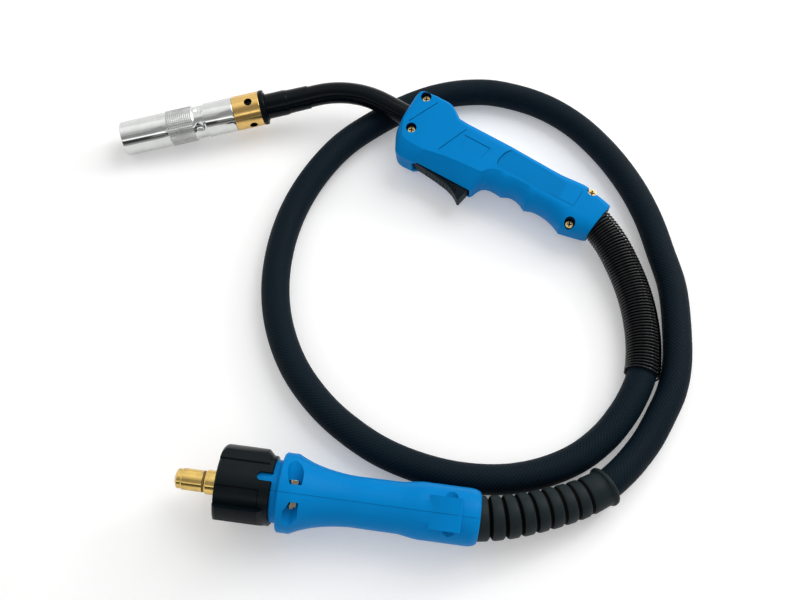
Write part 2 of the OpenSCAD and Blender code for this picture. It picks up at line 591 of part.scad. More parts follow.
// closer rings where the cable runs in the sleeve and in the spring
cable_rings = concat([0, 2], [for (u = [3 : 0.5 : 10]) u], [for (u = [11 : spring_first - 11]) u],
    [for (u = [spring_first - 10.5 : 0.5 : spring_first]) u],
    [for (u = [spring_first + 1 : len(route) - 1]) u]);
module cable() {
    color([0.12, 0.14, 0.17]) skin([for (u = cable_rings) ring_at(u, cable_d / 2, cable_sides)]);
}
sleeve_sides = 20;
sleeve_start = -13;    // inside the plug housing, before its rear face
sleeve_first = 5;      // from the housing's face to the first groove
groove_w = 2.8;
sleeve_len = 88;
lip_w = 3.4;
function sleeve_r(s) = s < 0 ? sleeve_d / 2
    : lookup(s, [[0, sleeve_d / 2], [sleeve_len - lip_w, sleeve_cuff_d / 2]]);
// outer outline of the sleeve, as [way from the housing's face, radius]
sleeve_outline = concat([[sleeve_start, sleeve_r(0)], [0, sleeve_r(0)]],
    [for (k = [0 : sleeve_ribs - 1]) let (s = sleeve_first + k * sleeve_pitch)
        each [[s, sleeve_r(s)], [s + groove_w * 0.45, sleeve_groove_d / 2],
              [s + groove_w, sleeve_r(s + groove_w)]]],
    [[sleeve_len - lip_w - 0.4, sleeve_cuff_d / 2], [sleeve_len - lip_w, sleeve_lip_d / 2 - 0.3],
     [sleeve_len - lip_w / 2, sleeve_lip_d / 2], [sleeve_len, sleeve_lip_d / 2 - 0.5]]);
sleeve_bore_r = cable_d / 2 + loose_gap;
module bend_sleeve() {
    color([0.1, 0.11, 0.12]) skin(concat(
        [for (p = sleeve_outline) ring_at(u_at(exit_s + p[0]), p[1], sleeve_sides)],
        [for (s = [sleeve_len : -9.1 : sleeve_start - 0.1])
            ring_at(u_at(exit_s + max(s, sleeve_start)), sleeve_bore_r, sleeve_sides)],
        [ring_at(u_at(exit_s + sleeve_start), sleeve_bore_r, sleeve_sides)]), closed = true);
}

// ---- plug: places along its axis, from the middle of the coupling nut
nut_x = [-16.6, -16.6 + nut_len];
nut_turn = 4;          // where the steep wall of the first rib stands
rib_top = 24;          // angles across one rib: its top, the end of its bevelled side and its foot
rib_bevel = 40;
rib_foot = 41.5;
panel_start = 87;      // where the sunk panel beside the next rib's steep wall begins
panel_depth = 0.6;
panel_end = 7;         // plain ring behind the panels
retainer_x = [4, 6.4];
retainer_r = collar_d / 2 + 0.6;
nut_bore_r = retainer_r + loose_gap;
collar_front = 3.6;
flange_x = 22.6;
carrier_x = [-3, 6];
carrier_r = 15;
body_r = 8;
body_flange_r = 12;
rear_start = housing_end - 40.6;               // where the rear grip begins
rear_corner = [7, 3];                          // rounding of the rear end, along and across
screw_spots = [[flange_x + 9.2, 19.8], [housing_end - 18.6, 15.4]];   // [x, z] of the clamp screws
screw_seat = [5.4, 4.4];                       // height of each screw's seat over the parting plane
clamp_head_d = 7;
clamp_head_h = 2.6;
clamp_nut_d = 7.4;
clamp_nut_h = 2.8;
pocket_d = [10.2, 7.8];                        // wells of the front and of the rear screws
boss_r = 30;                                   // crest of the rounded boss over the rear screws
boss_top = 19.8;
boss_x = [-13, 6.8];                           // its ends, from the screws' middle
boss_half = 10.4;                              // half its width
plug_ferrule_x = [58, housing_end - 17.6];

module housing_profile() {
    rear_r = rear_d / 2;
    waist_r = waist_d / 2;
    flange_r = flange_d / 2;
    polygon(concat([[carrier_r + seat_gap, collar_front], [retainer_r, collar_front],
        [retainer_r, retainer_x[1]], [collar_d / 2, retainer_x[1]], [collar_d / 2, flange_x],
        [flange_r - 0.8, flange_x], [flange_r, flange_x + 0.8], [flange_r, flange_x + 8.2]],
        // concave sweep from the flange down to the waist
        [for (t = [1 : 10]) bent([flange_r, flange_x + 8.2], [waist_r + 1, flange_x + 23],
            [waist_r, flange_x + 46], t / 10)],
        [[waist_r + 0.2, rear_start - 9], [rear_r - 0.4, rear_start], [rear_r, rear_start + 4]],
        [for (a = [0 : 15 : 75]) [rear_r - rear_corner.y * (1 - cos(a)),
                                  housing_end - rear_corner.x * (1 - sin(a))]],
        [[rear_r - rear_corner.y, housing_end], [sleeve_d / 2 + bend_gap, housing_end],
         [sleeve_d / 2 + bend_gap, housing_end + sleeve_start - 0.4],
         [11.6, housing_end + sleeve_start - 0.4], [11.6, 92], [body_flange_r + seat_gap, 60],
         [body_flange_r + seat_gap, carrier_x[1] + 0.1], [carrier_r + seat_gap, carrier_x[1] + 0.1]]));
}
module boss_profile(z) {
    polygon(concat([[boss_x[0], z * 13]],
        [for (k = [4 : -1 : 0]) let (x = boss_x[0] * k / 4)
            [x, z * (boss_top - boss_r + sqrt(boss_r * boss_r - x * x))]],
        [[boss_x[1] - 1, z * boss_top], [boss_x[1], z * (boss_top - 0.6)], [boss_x[1], z * 13]]));
}
module plug_half(side) {
    difference() {
        union() {
            along_x() rotate([0, 0, side > 0 ? 0 : 180]) rotate_extrude(angle = 180, $fn = 96)
                housing_profile();
            // rounded boss that bridges the rear clamp screws, on both faces
            for (z = [-1, 1]) translate([screw_spots[1].x, side > 0 ? boss_half : 0, 0])
                rotate([90, 0, 0]) linear_extrude(boss_half) boss_profile(z);
        }
        for (i = [0, 1], z = [-1, 1]) let (spot = screw_spots[i], seat = screw_seat[i]) {
            along_y(spot.x, -40, z * spot.y) cylinder(d = clamp_screw_d + 2 * loose_gap, h = 80);
            if (side > 0) along_y(spot.x, seat, z * spot.y) cylinder(d = pocket_d[i], h = 30);
            else translate([spot.x, -seat, z * spot.y]) rotate([90, 30, 0])
                cylinder(d = pocket_d[i], h = 30, $fn = 6);
        }
        along_x(housing_end + sleeve_start) cylinder(d = sleeve_d + 2 * bend_gap, h = 40);
    }
}
module plug_housing_left() { color([0.02, 0.5, 0.8]) at_plug() plug_half(1); }
module plug_housing_right() { color([0.02, 0.48, 0.78]) at_plug() plug_half(-1); }
module clamp_screws() {
    color([0.75, 0.72, 0.65]) at_plug() for (i = [0, 1], z = [-1, 1])
        let (spot = screw_spots[i], seat = screw_seat[i]) difference() {
            union() {
                along_y(spot.x, seat, z * spot.y) cylinder(d = clamp_head_d, h = clamp_head_h);
                along_y(spot.x, -seat - 4, z * spot.y) cylinder(d = clamp_screw_d, h = 2 * seat + 4);
            }
            for (a = [0, 90]) translate([spot.x, seat + clamp_head_h, z * spot.y]) rotate([0, a, 0])
                cube([clamp_head_d * 0.6, 2.4, 1], center = true);
        }
}
module clamp_nuts() {
    color([0.75, 0.72, 0.65]) at_plug() for (i = [0, 1], z = [-1, 1])
        let (spot = screw_spots[i], seat = screw_seat[i])
            translate([spot.x, -seat - seat_gap, z * spot.y]) rotate([90, 30, 0]) difference() {
                cylinder(d = clamp_nut_d, h = clamp_nut_h, $fn = 6);
                translate([0, 0, -past])
                    cylinder(d = clamp_screw_d + 2 * seat_gap, h = clamp_nut_h + 2 * past);
            }
}

module coupling_nut() {
    r = nut_d / 2;
    core = nut_core_d / 2;
    sector = 360 / nut_ribs;
    color([0.07, 0.08, 0.08]) at_plug() difference() {
        union() {
            along_x() rotate_extrude($fn = 96) polygon([[collar_d / 2 + nut_gap, nut_x[1]],
                [core - 0.6, nut_x[1]], [core, nut_x[1] - 0.6], [core, nut_x[0] + 0.8],
                [core - 0.8, nut_x[0]], [nut_bore_r, nut_x[0]],
                [nut_bore_r, retainer_x[1] + 0.4], [collar_d / 2 + nut_gap, retainer_x[1] + 0.4]]);
            // wide ribs with one steep and one bevelled side, rounded in front, sloped at the rear
            intersection() {
                along_x() rotate_extrude($fn = 96) polygon([[core - 1, nut_x[0]], [r - 3, nut_x[0]],
                    [r - 1.6, nut_x[0] + 0.4], [r - 0.5, nut_x[0] + 1.5], [r, nut_x[0] + 3],
                    [r, nut_x[1] - 6.2], [core - 0.3, nut_x[1] - 2.2], [core - 1, nut_x[1] - 2.2]]);
                for (i = [1 : nut_ribs]) rotate([nut_turn + sector * i, 0, 0]) nut_rib(core, r);
            }
        }
        for (i = [1 : nut_ribs]) rotate([nut_turn + sector * i, 0, 0]) {
            nut_panel(core, sector);
            // slot open to the rear in the middle of each land
            rotate([(rib_foot + panel_start) / 2, 0, 0]) nut_slot();
        }
    }
}
function around(r, a) = [r * cos(a), r * sin(a)];
module nut_rib(core, r) {
    translate([nut_x[0] - past, 0, 0]) rotate([90, 0, 90]) linear_extrude(nut_len + 2 * past)
        polygon([around(core - 1, 0), around(r + 1, 0), around(r + 1, rib_top / 2),
                 around(r + 0.4, rib_top), around(core + 0.9, rib_bevel),
                 around(core - 1, rib_foot)]);
}
// sunk panel between a land and the next rib
module nut_panel(core, sector) {
    mid = (panel_start + sector) / 2;
    wide = core * sin((sector - panel_start) / 2 - 1);
    rotate([mid, 0, 0]) difference() {
        translate([nut_x[0] - past, core - 6, -wide])
            cube([nut_len + past - panel_end, 10, 2 * wide]);
        along_x(nut_x[0] - 2 * past) cylinder(r = core - panel_depth, h = nut_len, $fn = 96);
    }
}
module nut_slot() {
    slot_w = 5.8;
    start = 11.4;
    translate([start, 0, 0]) rotate([-90, 0, 0]) cylinder(d = slot_w, h = 40);
    translate([start, 0, -slot_w / 2]) cube([40, 40, slot_w]);
}
module plug_body() {
    // current-carrying brass body, from the spigot's seat back to the cable's ferrule
    color([0.8, 0.64, 0.3]) at_plug() along_x() difference() {
        rotate_extrude() polygon([[0, -8], [body_r, -8], [body_r, carrier_x[1] + 0.2],
            [body_flange_r, carrier_x[1] + 0.2], [body_flange_r, 20], [body_r + 1.5, 24],
            [body_r + 1.5, plug_ferrule_x[0]], [0, plug_ferrule_x[0]]]);
        translate([0, 0, -20]) cylinder(d = neck_tube_bore, h = 100);
        translate([0, 0, -20]) cylinder(d = spigot_guide_d - 3.6 + 2 * seat_gap, h = 28);
    }
}
spigot_tip_x = nut_x[0] - spigot_reach;
groove_x = nut_x[0] - 10.6;
module plug_spigot() {
    stem_r = (spigot_guide_d - 3.6) / 2;
    color([0.83, 0.66, 0.28]) at_plug() along_x() difference() {
        rotate_extrude() polygon([[0, spigot_tip_x], [spigot_tip_d / 2 - 0.9, spigot_tip_x],
            [spigot_tip_d / 2, spigot_tip_x + 0.9], [spigot_tip_d / 2, spigot_tip_x + 3.4],
            [spigot_guide_d / 2, spigot_tip_x + 4.2], [spigot_guide_d / 2, groove_x],
            [spigot_guide_d / 2 - 1.1, groove_x], [spigot_guide_d / 2 - 1.1, groove_x + 1.4],
            [spigot_guide_d / 2, groove_x + 1.4], [spigot_d / 2, groove_x + 2.4],
            [spigot_d / 2, -8 - seat_gap], [stem_r, -8 - seat_gap], [stem_r, 7.6], [0, 7.6]]);
        translate([0, 0, spigot_tip_x - past]) cylinder(d = 6 + 2 * seat_gap, h = 100);
    }
}
module spigot_o_ring() {
    color([0.05, 0.05, 0.05]) at_plug() along_x() translate([0, 0, groove_x + 0.7])
        rotate_extrude() translate([spigot_guide_d / 2 - 0.55, 0]) circle(d = 1, $fn = 32);
}
module liner_nipple() {
    color([0.7, 0.7, 0.72]) at_plug() along_x(spigot_tip_x - 0.6) difference() {
        union() {
            cylinder(d = 6, h = 30);
            cylinder(d = 7.6, h = 0.6 - seat_gap);
        }
        translate([0, 0, -past]) cylinder(d = liner_bore, h = 40);
    }
}
pin_circle = 11.4;
barrel_r = control_pin_d / 2 + 0.9;
module pin_carrier() {
    color([0.08, 0.08, 0.09]) at_plug() along_x() difference() {
        rotate_extrude() polygon([[body_r + seat_gap, carrier_x[0]], [carrier_r - 0.8, carrier_x[0]],
            [carrier_r, carrier_x[0] + 0.8], [carrier_r, carrier_x[1]],
            [body_r + seat_gap, carrier_x[1]]]);
        for (z = [-1, 1]) translate([z * pin_circle, 0, -10])
            cylinder(r = barrel_r + seat_gap, h = 30);
    }
}
barrel_len = 12;
module pin_barrels() {
    color([0.75, 0.75, 0.76]) at_plug() along_x() for (z = [-1, 1])
        translate([z * pin_circle, 0, carrier_x[0] - 0.4]) difference() {
            cylinder(r = barrel_r, h = carrier_x[1] - carrier_x[0] + 0.3);
            translate([0, 0, -past]) cylinder(r = control_pin_d / 2 + pin_gap, h = barrel_len - 3.8);
        }
}
module control_pin(z) {
    color([0.85, 0.7, 0.35]) at_plug() along_x() translate([z * pin_circle, 0, 0])
        rotate_extrude() polygon([[0, carrier_x[0] - control_pin_reach],
            [control_pin_d / 2 - 0.6, carrier_x[0] - control_pin_reach],
            [control_pin_d / 2, carrier_x[0] - control_pin_reach + 0.6],
            [control_pin_d / 2, carrier_x[0] + 3.6], [0, carrier_x[0] + 3.6]]);
}
module control_pin_1() { control_pin(1); }
module control_pin_2() { control_pin(-1); }
module plug_ferrule() {
    color([0.78, 0.62, 0.28]) at_plug() along_x() difference() {
        rotate_extrude() polygon([[0, plug_ferrule_x[0]], [body_r + 1.5, plug_ferrule_x[0]],
            [body_r + 1.5, 92], [11.3, 94], [11.3, plug_ferrule_x[1]], [0, plug_ferrule_x[1]]]);
        translate([0, 0, plug_ferrule_x[0] - past]) cylinder(d = neck_tube_bore, h = 100);
        translate([0, 0, route_start - 0.2]) cylinder(d = cable_d + 2 * seat_gap, h = 60);
    }
}
module control_leads() {
    color([0.6, 0.1, 0.1]) at_plug() for (z = [-1, 1])
        lead([[22.7, 0, z * 11.05], [40, 0, z * 11], [88, 0, z * 10.6]], lead_d);
}

gas_nozzle();
contact_tip();
tip_holder();
nozzle_bush();
brass_ring();
insulating_washer();
neck_tube();
neck_jacket();
neck_end_sleeve();
handle_top_shell();
handle_bottom_shell();
handle_screws();
handle_inserts();
trigger();
trigger_pin();
micro_switch();
switch_button();
switch_leads();
power_block();
gas_conduit();
handle_ferrule();
strain_spring();
cable();
bend_sleeve();
plug_housing_left();
plug_housing_right();
clamp_screws();
clamp_nuts();
coupling_nut();
plug_body();
plug_spigot();
spigot_o_ring();
liner_nipple();
pin_carrier();
pin_barrels();
control_pin_1();
control_pin_2();
plug_ferrule();
control_leads();
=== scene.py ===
"""MIG welding torch: bent-neck gun, power cable and central plug, laid out on a pale floor."""
import json
import math

import bmesh
import bpy
from mathutils import Euler, Matrix, Vector
from mathutils.bvhtree import BVHTree

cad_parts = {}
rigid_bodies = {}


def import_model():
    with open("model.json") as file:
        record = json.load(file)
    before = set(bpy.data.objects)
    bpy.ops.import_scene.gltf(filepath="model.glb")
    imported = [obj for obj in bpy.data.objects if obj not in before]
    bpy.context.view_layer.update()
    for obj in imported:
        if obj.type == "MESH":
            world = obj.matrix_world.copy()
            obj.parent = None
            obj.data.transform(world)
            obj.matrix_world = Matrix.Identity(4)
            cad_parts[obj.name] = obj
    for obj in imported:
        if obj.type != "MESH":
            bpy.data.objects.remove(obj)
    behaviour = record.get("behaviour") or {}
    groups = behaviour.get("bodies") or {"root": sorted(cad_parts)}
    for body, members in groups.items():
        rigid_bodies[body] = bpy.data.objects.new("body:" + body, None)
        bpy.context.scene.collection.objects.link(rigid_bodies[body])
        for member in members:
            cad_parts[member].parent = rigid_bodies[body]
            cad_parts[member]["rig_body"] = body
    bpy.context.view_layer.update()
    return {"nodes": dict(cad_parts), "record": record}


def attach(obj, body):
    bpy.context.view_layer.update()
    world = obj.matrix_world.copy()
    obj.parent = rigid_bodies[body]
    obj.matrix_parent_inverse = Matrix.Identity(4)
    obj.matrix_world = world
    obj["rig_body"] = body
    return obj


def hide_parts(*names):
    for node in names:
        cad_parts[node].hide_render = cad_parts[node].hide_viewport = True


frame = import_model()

bl_info = {
    "name": "MIG Welding Torch",
    "version": (1, 0, 0),
    "blender": (4, 5, 0),
    "location": "View3D > Sidebar > Torch",
    "description": "Builds a gas-cooled welding torch with its cable and central plug",
    "category": "Add Mesh",
}

MM = 0.001
BODY = "torch"
ROUND_SIDES = 64


# ---- where the gun and the plug lie
def pose(at, turn):
    """Matrix of a place in millimetres and a turn in degrees."""
    return Matrix.Translation(Vector(at) * MM) @ Euler(map(math.radians, turn)).to_matrix().to_4x4()


GUN = pose((161, 61.2, 19.2), (-10.64, -2.69, 149.1))
PLUG = pose((-81, -139.1, 25.95), (14.1, 1.72, -7.3))
ALONG_X = Matrix.Rotation(math.radians(90), 4, "Y")
# the neck's bend, in the gun's place
BEND_START, BEND_RADIUS, BEND_ANGLE, NECK_Y = 184.4, 70.0, math.radians(43.4), -1.5
BEND_END = Vector((BEND_START + BEND_RADIUS * math.sin(BEND_ANGLE),
                   NECK_Y + BEND_RADIUS * (1 - math.cos(BEND_ANGLE)), 0))
# Z runs along the neck's end, towards the nozzle's mouth
NECK_END = (GUN @ Matrix.Translation(BEND_END * MM) @ Matrix.Rotation(BEND_ANGLE, 4, "Z")
            @ ALONG_X)
PLUG_AXIS = PLUG @ ALONG_X
WASHER_SEAT, NOZZLE_SEAT = 39, 64.05    # along the neck's end

# ---- the cable's route
FLOOR_Z = 10.4                          # height of the cable's middle where it lies
ROUTE_START, HOUSING_END = 104.0, 147.6
HANDLE_EXIT, HANDLE_INSET = Vector((-1, 5.8, 0)), 15.0
HANDLE_DIP = Vector((-math.cos(math.radians(21.5)), math.sin(math.radians(21.5)), 0))
FREE_POINTS = (
    (83, -156.8, 21.0), (102, -153, 19.3), (121.2, -147.6, 17.0), (135.6, -142, 15.2),
    (148, -135.2, 13.9), (157.8, -127.4, 12.8), (168.4, -116.8, 11.4), (180, -102.6, FLOOR_Z),
    (190.4, -85.8, FLOOR_Z), (199.8, -68, FLOOR_Z), (205.9, -46.5, FLOOR_Z), (208.9, -16, FLOOR_Z),
    (209, 11, FLOOR_Z), (204.5, 36, FLOOR_Z), (198, 67, FLOOR_Z), (187, 97, FLOOR_Z),
    (170.5, 126, FLOOR_Z), (149.5, 151, FLOOR_Z), (124, 169, FLOOR_Z), (94, 179.5, FLOOR_Z),
    (70.5, 181, FLOOR_Z), (47, 177, FLOOR_Z), (23.5, 167.5, FLOOR_Z), (-2, 152, FLOOR_Z),
    (-27, 131.5, FLOOR_Z), (-47, 105, FLOOR_Z), (-61.5, 75.5, FLOOR_Z), (-70, 44, FLOOR_Z),
    (-72.5, 12, FLOOR_Z), (-68.5, -19, FLOOR_Z), (-58, -48, FLOOR_Z), (-42.5, -72, FLOOR_Z),
    (-22.6, -92.6, FLOOR_Z), (5, -111.8, FLOOR_Z), (38.5, -124.8, FLOOR_Z), (72, -129.8, FLOOR_Z),
    (102, -127, FLOOR_Z), (129.3, -117, FLOOR_Z), (150.2, -102, 10.8), (165.2, -84.8, 11.4),
    (174.6, -69.6, 12), (180.2, -56.6, 12.5), (182.6, -43.8, 12.7), (183.6, -31.4, 12.7),
    (183.5, -19.2, 12.7), (182.5, -7.2, 12.9), (180.9, 2.8, 13.1), (178.6, 12.8, 13.5),
    (175.6, 22.4, 14.2), (172.2, 31.8, 15), (168.2, 41, 16), (163.8, 48.7, 16.9))
ROUTE = ([PLUG @ (Vector((ROUTE_START + k / 3 * (HOUSING_END - ROUTE_START), 0, 0)) * MM)
          for k in range(4)]
         + [Vector(p) * MM for p in FREE_POINTS]
         + [GUN @ ((HANDLE_EXIT - k / 3 * HANDLE_INSET * HANDLE_DIP) * MM) for k in range(4)])
PLUG_POINT = 3                          # route point at the plug housing's end
HANDLE_POINT = len(ROUTE) - 4           # route point at the handle's rear face
STEPS = 12                              # measured steps between two route points


def route_at(u):
    """Point of the smooth route at u, which counts the route's points."""
    last = len(ROUTE) - 1
    i = min(max(int(u), 0), last - 1)
    t = u - i
    a, b, c, d = ROUTE[max(i - 1, 0)], ROUTE[i], ROUTE[i + 1], ROUTE[min(i + 2, last)]
    return 0.5 * (2 * b + (c - a) * t + (2 * a - 5 * b + 4 * c - d) * t * t
                  + (3 * b - a - 3 * c + d) * t * t * t)


def running_lengths():
    """Length of the route up to each measured step, in metres."""
    total, table = 0.0, [0.0]
    for k in range((len(ROUTE) - 1) * STEPS):
        total += (route_at((k + 1) / STEPS) - route_at(k / STEPS)).length
        table.append(total)
    return table


LENGTHS = running_lengths()
EXIT_S = LENGTHS[PLUG_POINT * STEPS]
HANDLE_S = LENGTHS[HANDLE_POINT * STEPS]
CABLE_FROM = EXIT_S - 20 * MM
CABLE_TOTAL = LENGTHS[-1] - CABLE_FROM


def u_at(s):
    """Place on the route after a running length s, in metres."""
    low, high = 0, len(LENGTHS) - 1
    while high - low > 1:
        middle = (low + high) // 2
        if LENGTHS[middle] <= s:
            low = middle
        else:
            high = middle
    return (low + (s - LENGTHS[low]) / (LENGTHS[high] - LENGTHS[low])) / STEPS


def route_frame(s):
    """Matrix at a running length: Z along the route, X to its side, Y up."""
    u = u_at(s)
    way = (route_at(u + 0.01) - route_at(u - 0.01)).normalized()
    side = Vector((0, 0, 1)).cross(way).normalized()
    up = way.cross(side)
    turn = Matrix((side, up, way)).transposed().to_4x4()
    return Matrix.Translation(route_at(u)) @ turn


# ---- sizes and colours that a user may change
def length(name, what, value, low, high):
    """A size, given in millimetres with its lowest and highest value."""
    return bpy.props.FloatProperty(name=name, description=what, default=value * MM, min=low * MM,
                                   max=high * MM, subtype="DISTANCE", unit="LENGTH")


def colour(name, what, value):
    return bpy.props.FloatVectorProperty(name=name, description=what, default=value, size=3,
                                         min=0, max=1, subtype="COLOR")


class TorchSizes(bpy.types.PropertyGroup):
    cable_width: length("Cable diameter", "Outside diameter of the power cable", 20, 16, 21)
    spring_wire: length("Spring wire", "Diameter of the anti-kink spring's wire", 1.55, 1, 1.7)
    spring_pitch: length("Spring pitch", "Distance between the spring's curls", 2.25, 2, 3)
    spring_reach: length("Spring length", "Length of the spring outside the handle", 121, 60, 125)
    sleeve_width: length("Bend sleeve diameter", "Diameter of the sleeve at the plug", 28.6, 26, 29)
    neck_width: length("Neck diameter", "Diameter of the neck's jacket", 16, 15, 17)
    knurl_depth: length("Knurl depth", "Depth of the nozzle's diamond pattern", 0.28, 0.05, 0.4)
    edge_round: length("Edge rounding", "Rounding of the handle's edges", 0.4, 0.05, 1)


class TorchColours(bpy.types.PropertyGroup):
    plastic: colour("Plastic", "Blue of the handle and the plug", (0.0, 0.225, 0.6))
    cable: colour("Cable", "Dark slate of the cable's cover", (0.0022, 0.0065, 0.0105))
    rubber: colour("Rubber", "Bend sleeve", (0.011, 0.0175, 0.02))
    black: colour("Black parts", "Nut and insulators", (0.0018, 0.005, 0.007))
    chrome: colour("Nozzle", "Plated nozzle", (0.64, 0.65, 0.64))
    brass: colour("Brass", "Ring and inner brass pieces", (0.72, 0.47, 0.16))
    gold: colour("Spigot", "Polished spigot of the plug", (0.8, 0.55, 0.17))
    floor: colour("Floor", "Pale floor under the torch", (0.89, 0.89, 0.885))


def sizes():
    return bpy.context.scene.torch_sizes


def colours():
    return bpy.context.scene.torch_colours


# ---- mesh helpers
def body_of(node):
    """Body that a CAD node moves with."""
    return frame["nodes"][node]["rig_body"]


def finish_of(piece, slot, *further):
    """Gives a piece its slot's finish, and further ones for the faces that ask for them."""
    if piece.data.materials:
        piece.data.materials.clear()
    for finish in (slot, *further):
        piece.data.materials.append(FINISHES[finish])
    return piece


def piece_of(mesh, name, slot, body, replaces=(), further=()):
    """Object that rides on its body, stands for CAD nodes and wears its slot's finish."""
    piece = bpy.data.objects.new(name, mesh)
    bpy.context.scene.collection.objects.link(piece)
    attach(piece, body)
    if replaces:
        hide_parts(*replaces)
    return finish_of(piece, slot, *further)


def finish_mesh(bm, name, slot, shade_angle=35, body=BODY, replaces=(), recalc=True, further=()):
    """Turns a bmesh into a piece, smooth but for edges sharper than shade_angle in degrees."""
    if recalc:
        bmesh.ops.recalc_face_normals(bm, faces=bm.faces)
    limit = math.radians(shade_angle)
    for face in bm.faces:
        face.smooth = True
    for edge in bm.edges:
        edge.smooth = not (len(edge.link_faces) == 2 and edge.calc_face_angle(0) > limit)
    mesh = bpy.data.meshes.new(name)
    bm.to_mesh(mesh)
    bm.free()
    return piece_of(mesh, name, slot, body, replaces, further)


def ring_edges(bm, matrix, radius, sides):
    made = bmesh.ops.create_circle(bm, cap_ends=False, radius=radius, segments=sides, matrix=matrix)
    return list({e for v in made["verts"] for e in v.link_edges})


def sweep(bm, stations, closed=False, deep=0):
    """Bridges circles, each given as a matrix with Z along the way and a radius.

    Bands that reach inside the radius deep take the second finish.
    """
    rings = [ring_edges(bm, matrix, radius, ROUND_SIDES) for matrix, radius in stations]
    for k in range(len(rings) if closed else len(rings) - 1):
        after = (k + 1) % len(rings)
        band = bmesh.ops.bridge_loops(bm, edges=rings[k] + rings[after])["faces"]
        for face in band:
            face.material_index = int(min(stations[k][1], stations[after][1]) < deep)
    if not closed:
        for ring in (rings[0], rings[-1]):
            bmesh.ops.contextual_create(bm, geom=ring)


def revolve(bm, outline, steps):
    """Spins an outline of (radius, height) points in millimetres round Z."""
    verts = [bm.verts.new((r * MM, 0, z * MM)) for r, z in outline]
    edges = [bm.edges.new(pair) for pair in zip(verts, verts[1:] + verts[:1])]
    bmesh.ops.spin(bm, geom=verts + edges, cent=(0, 0, 0), axis=(0, 0, 1), angle=math.tau,
                   steps=steps, use_merge=True)
    bmesh.ops.remove_doubles(bm, verts=bm.verts, dist=1e-7)


def move_along(bm, place, distance):
    """Puts a bmesh at a distance, in millimetres, along Z of a place."""
    matrix = place @ Matrix.Translation((0, 0, distance * MM))
    bmesh.ops.transform(bm, matrix=matrix, verts=bm.verts)


def curve_piece(name, slot, runs, radius, resolution, body=BODY, replaces=()):
    """Round tubes, one along each run of points."""
    curve = bpy.data.curves.new(name, "CURVE")
    curve.dimensions = "3D"
    curve.bevel_depth = radius
    curve.bevel_resolution = resolution
    curve.use_fill_caps = True
    for points in runs:
        spline = curve.splines.new("POLY")
        spline.points.add(len(points) - 1)
        for target, point in zip(spline.points, points):
            target.co = (*point, 1)
        spline.use_smooth = True
    drawn = bpy.data.objects.new(name + "_path", curve)
    mesh = bpy.data.meshes.new_from_object(drawn)
    bpy.data.objects.remove(drawn)
    bpy.data.curves.remove(curve)
    return piece_of(mesh, name, slot, body, replaces)


def surface_of(node):
    """Search tree of a CAD node's surface."""
    bm = bmesh.new()
    bm.from_mesh(frame["nodes"][node].data)
    tree = BVHTree.FromBMesh(bm)
    bm.free()
    return tree


def pressed_lines(name, node, slot, lines, radius, finish):
    """Fine dark lines of painted shade on a node: thin tubes half sunk in its surface.

    Each line is a place, seen along its Z, and a path of (x, y) in millimetres over the surface.
    """
    spacing, above, least = 1.2, 60, 0.1
    tree, runs = surface_of(node), []
    for place, path in lines:
        down, run = place.to_3x3() @ Vector((0, 0, -1)), []
        for a, b in zip(path, path[1:]):
            a, b = Vector(a), Vector(b)
            count = max(1, round((b - a).length / spacing))
            for k in range(count + 1):
                x, y = a.lerp(b, k / count)
                hit = tree.ray_cast(place @ (Vector((x, y, above)) * MM), down)[0]
                if hit and (not run or (hit - run[-1]).length > least * MM):
                    run.append(hit)
        runs.append(run)
    piece = curve_piece(name, slot, runs, radius * MM, 1, body_of(node))
    finish_of(piece, finish)


def dressed_copy(node, name, slot, rounding, angle=30, spots=None, further=()):
    """Copy of a CAD node, its triangles merged and its edges rounded by some millimetres.

    spots(centre, normal) gives 1, 2... to a face that takes one of the further finishes, and 0
    to the others. Edges of such faces stay sharp.
    """
    bm = bmesh.new()
    bm.from_mesh(frame["nodes"][node].data)
    bmesh.ops.remove_doubles(bm, verts=bm.verts, dist=2e-6)
    bmesh.ops.dissolve_limit(bm, angle_limit=math.radians(0.6), verts=bm.verts, edges=bm.edges)
    if spots:
        for face in bm.faces:
            face.material_index = spots(face.calc_center_median(), face.normal)
    limit = math.radians(angle)
    sharp = [e for e in bm.edges if len(e.link_faces) == 2 and e.calc_face_angle(0) > limit
             and not any(f.material_index for f in e.link_faces)]
    bmesh.ops.bevel(bm, geom=sharp, offset=rounding * MM, offset_type="OFFSET", affect="EDGES",
                    segments=2, profile=0.5, material=-1, clamp_overlap=True)
    piece = finish_mesh(bm, name, slot, shade_angle=angle, body=body_of(node),
                        replaces=(node,), recalc=False, further=further)
    even = piece.modifiers.new("even_shading", "WEIGHTED_NORMAL")
    even.keep_sharp = True


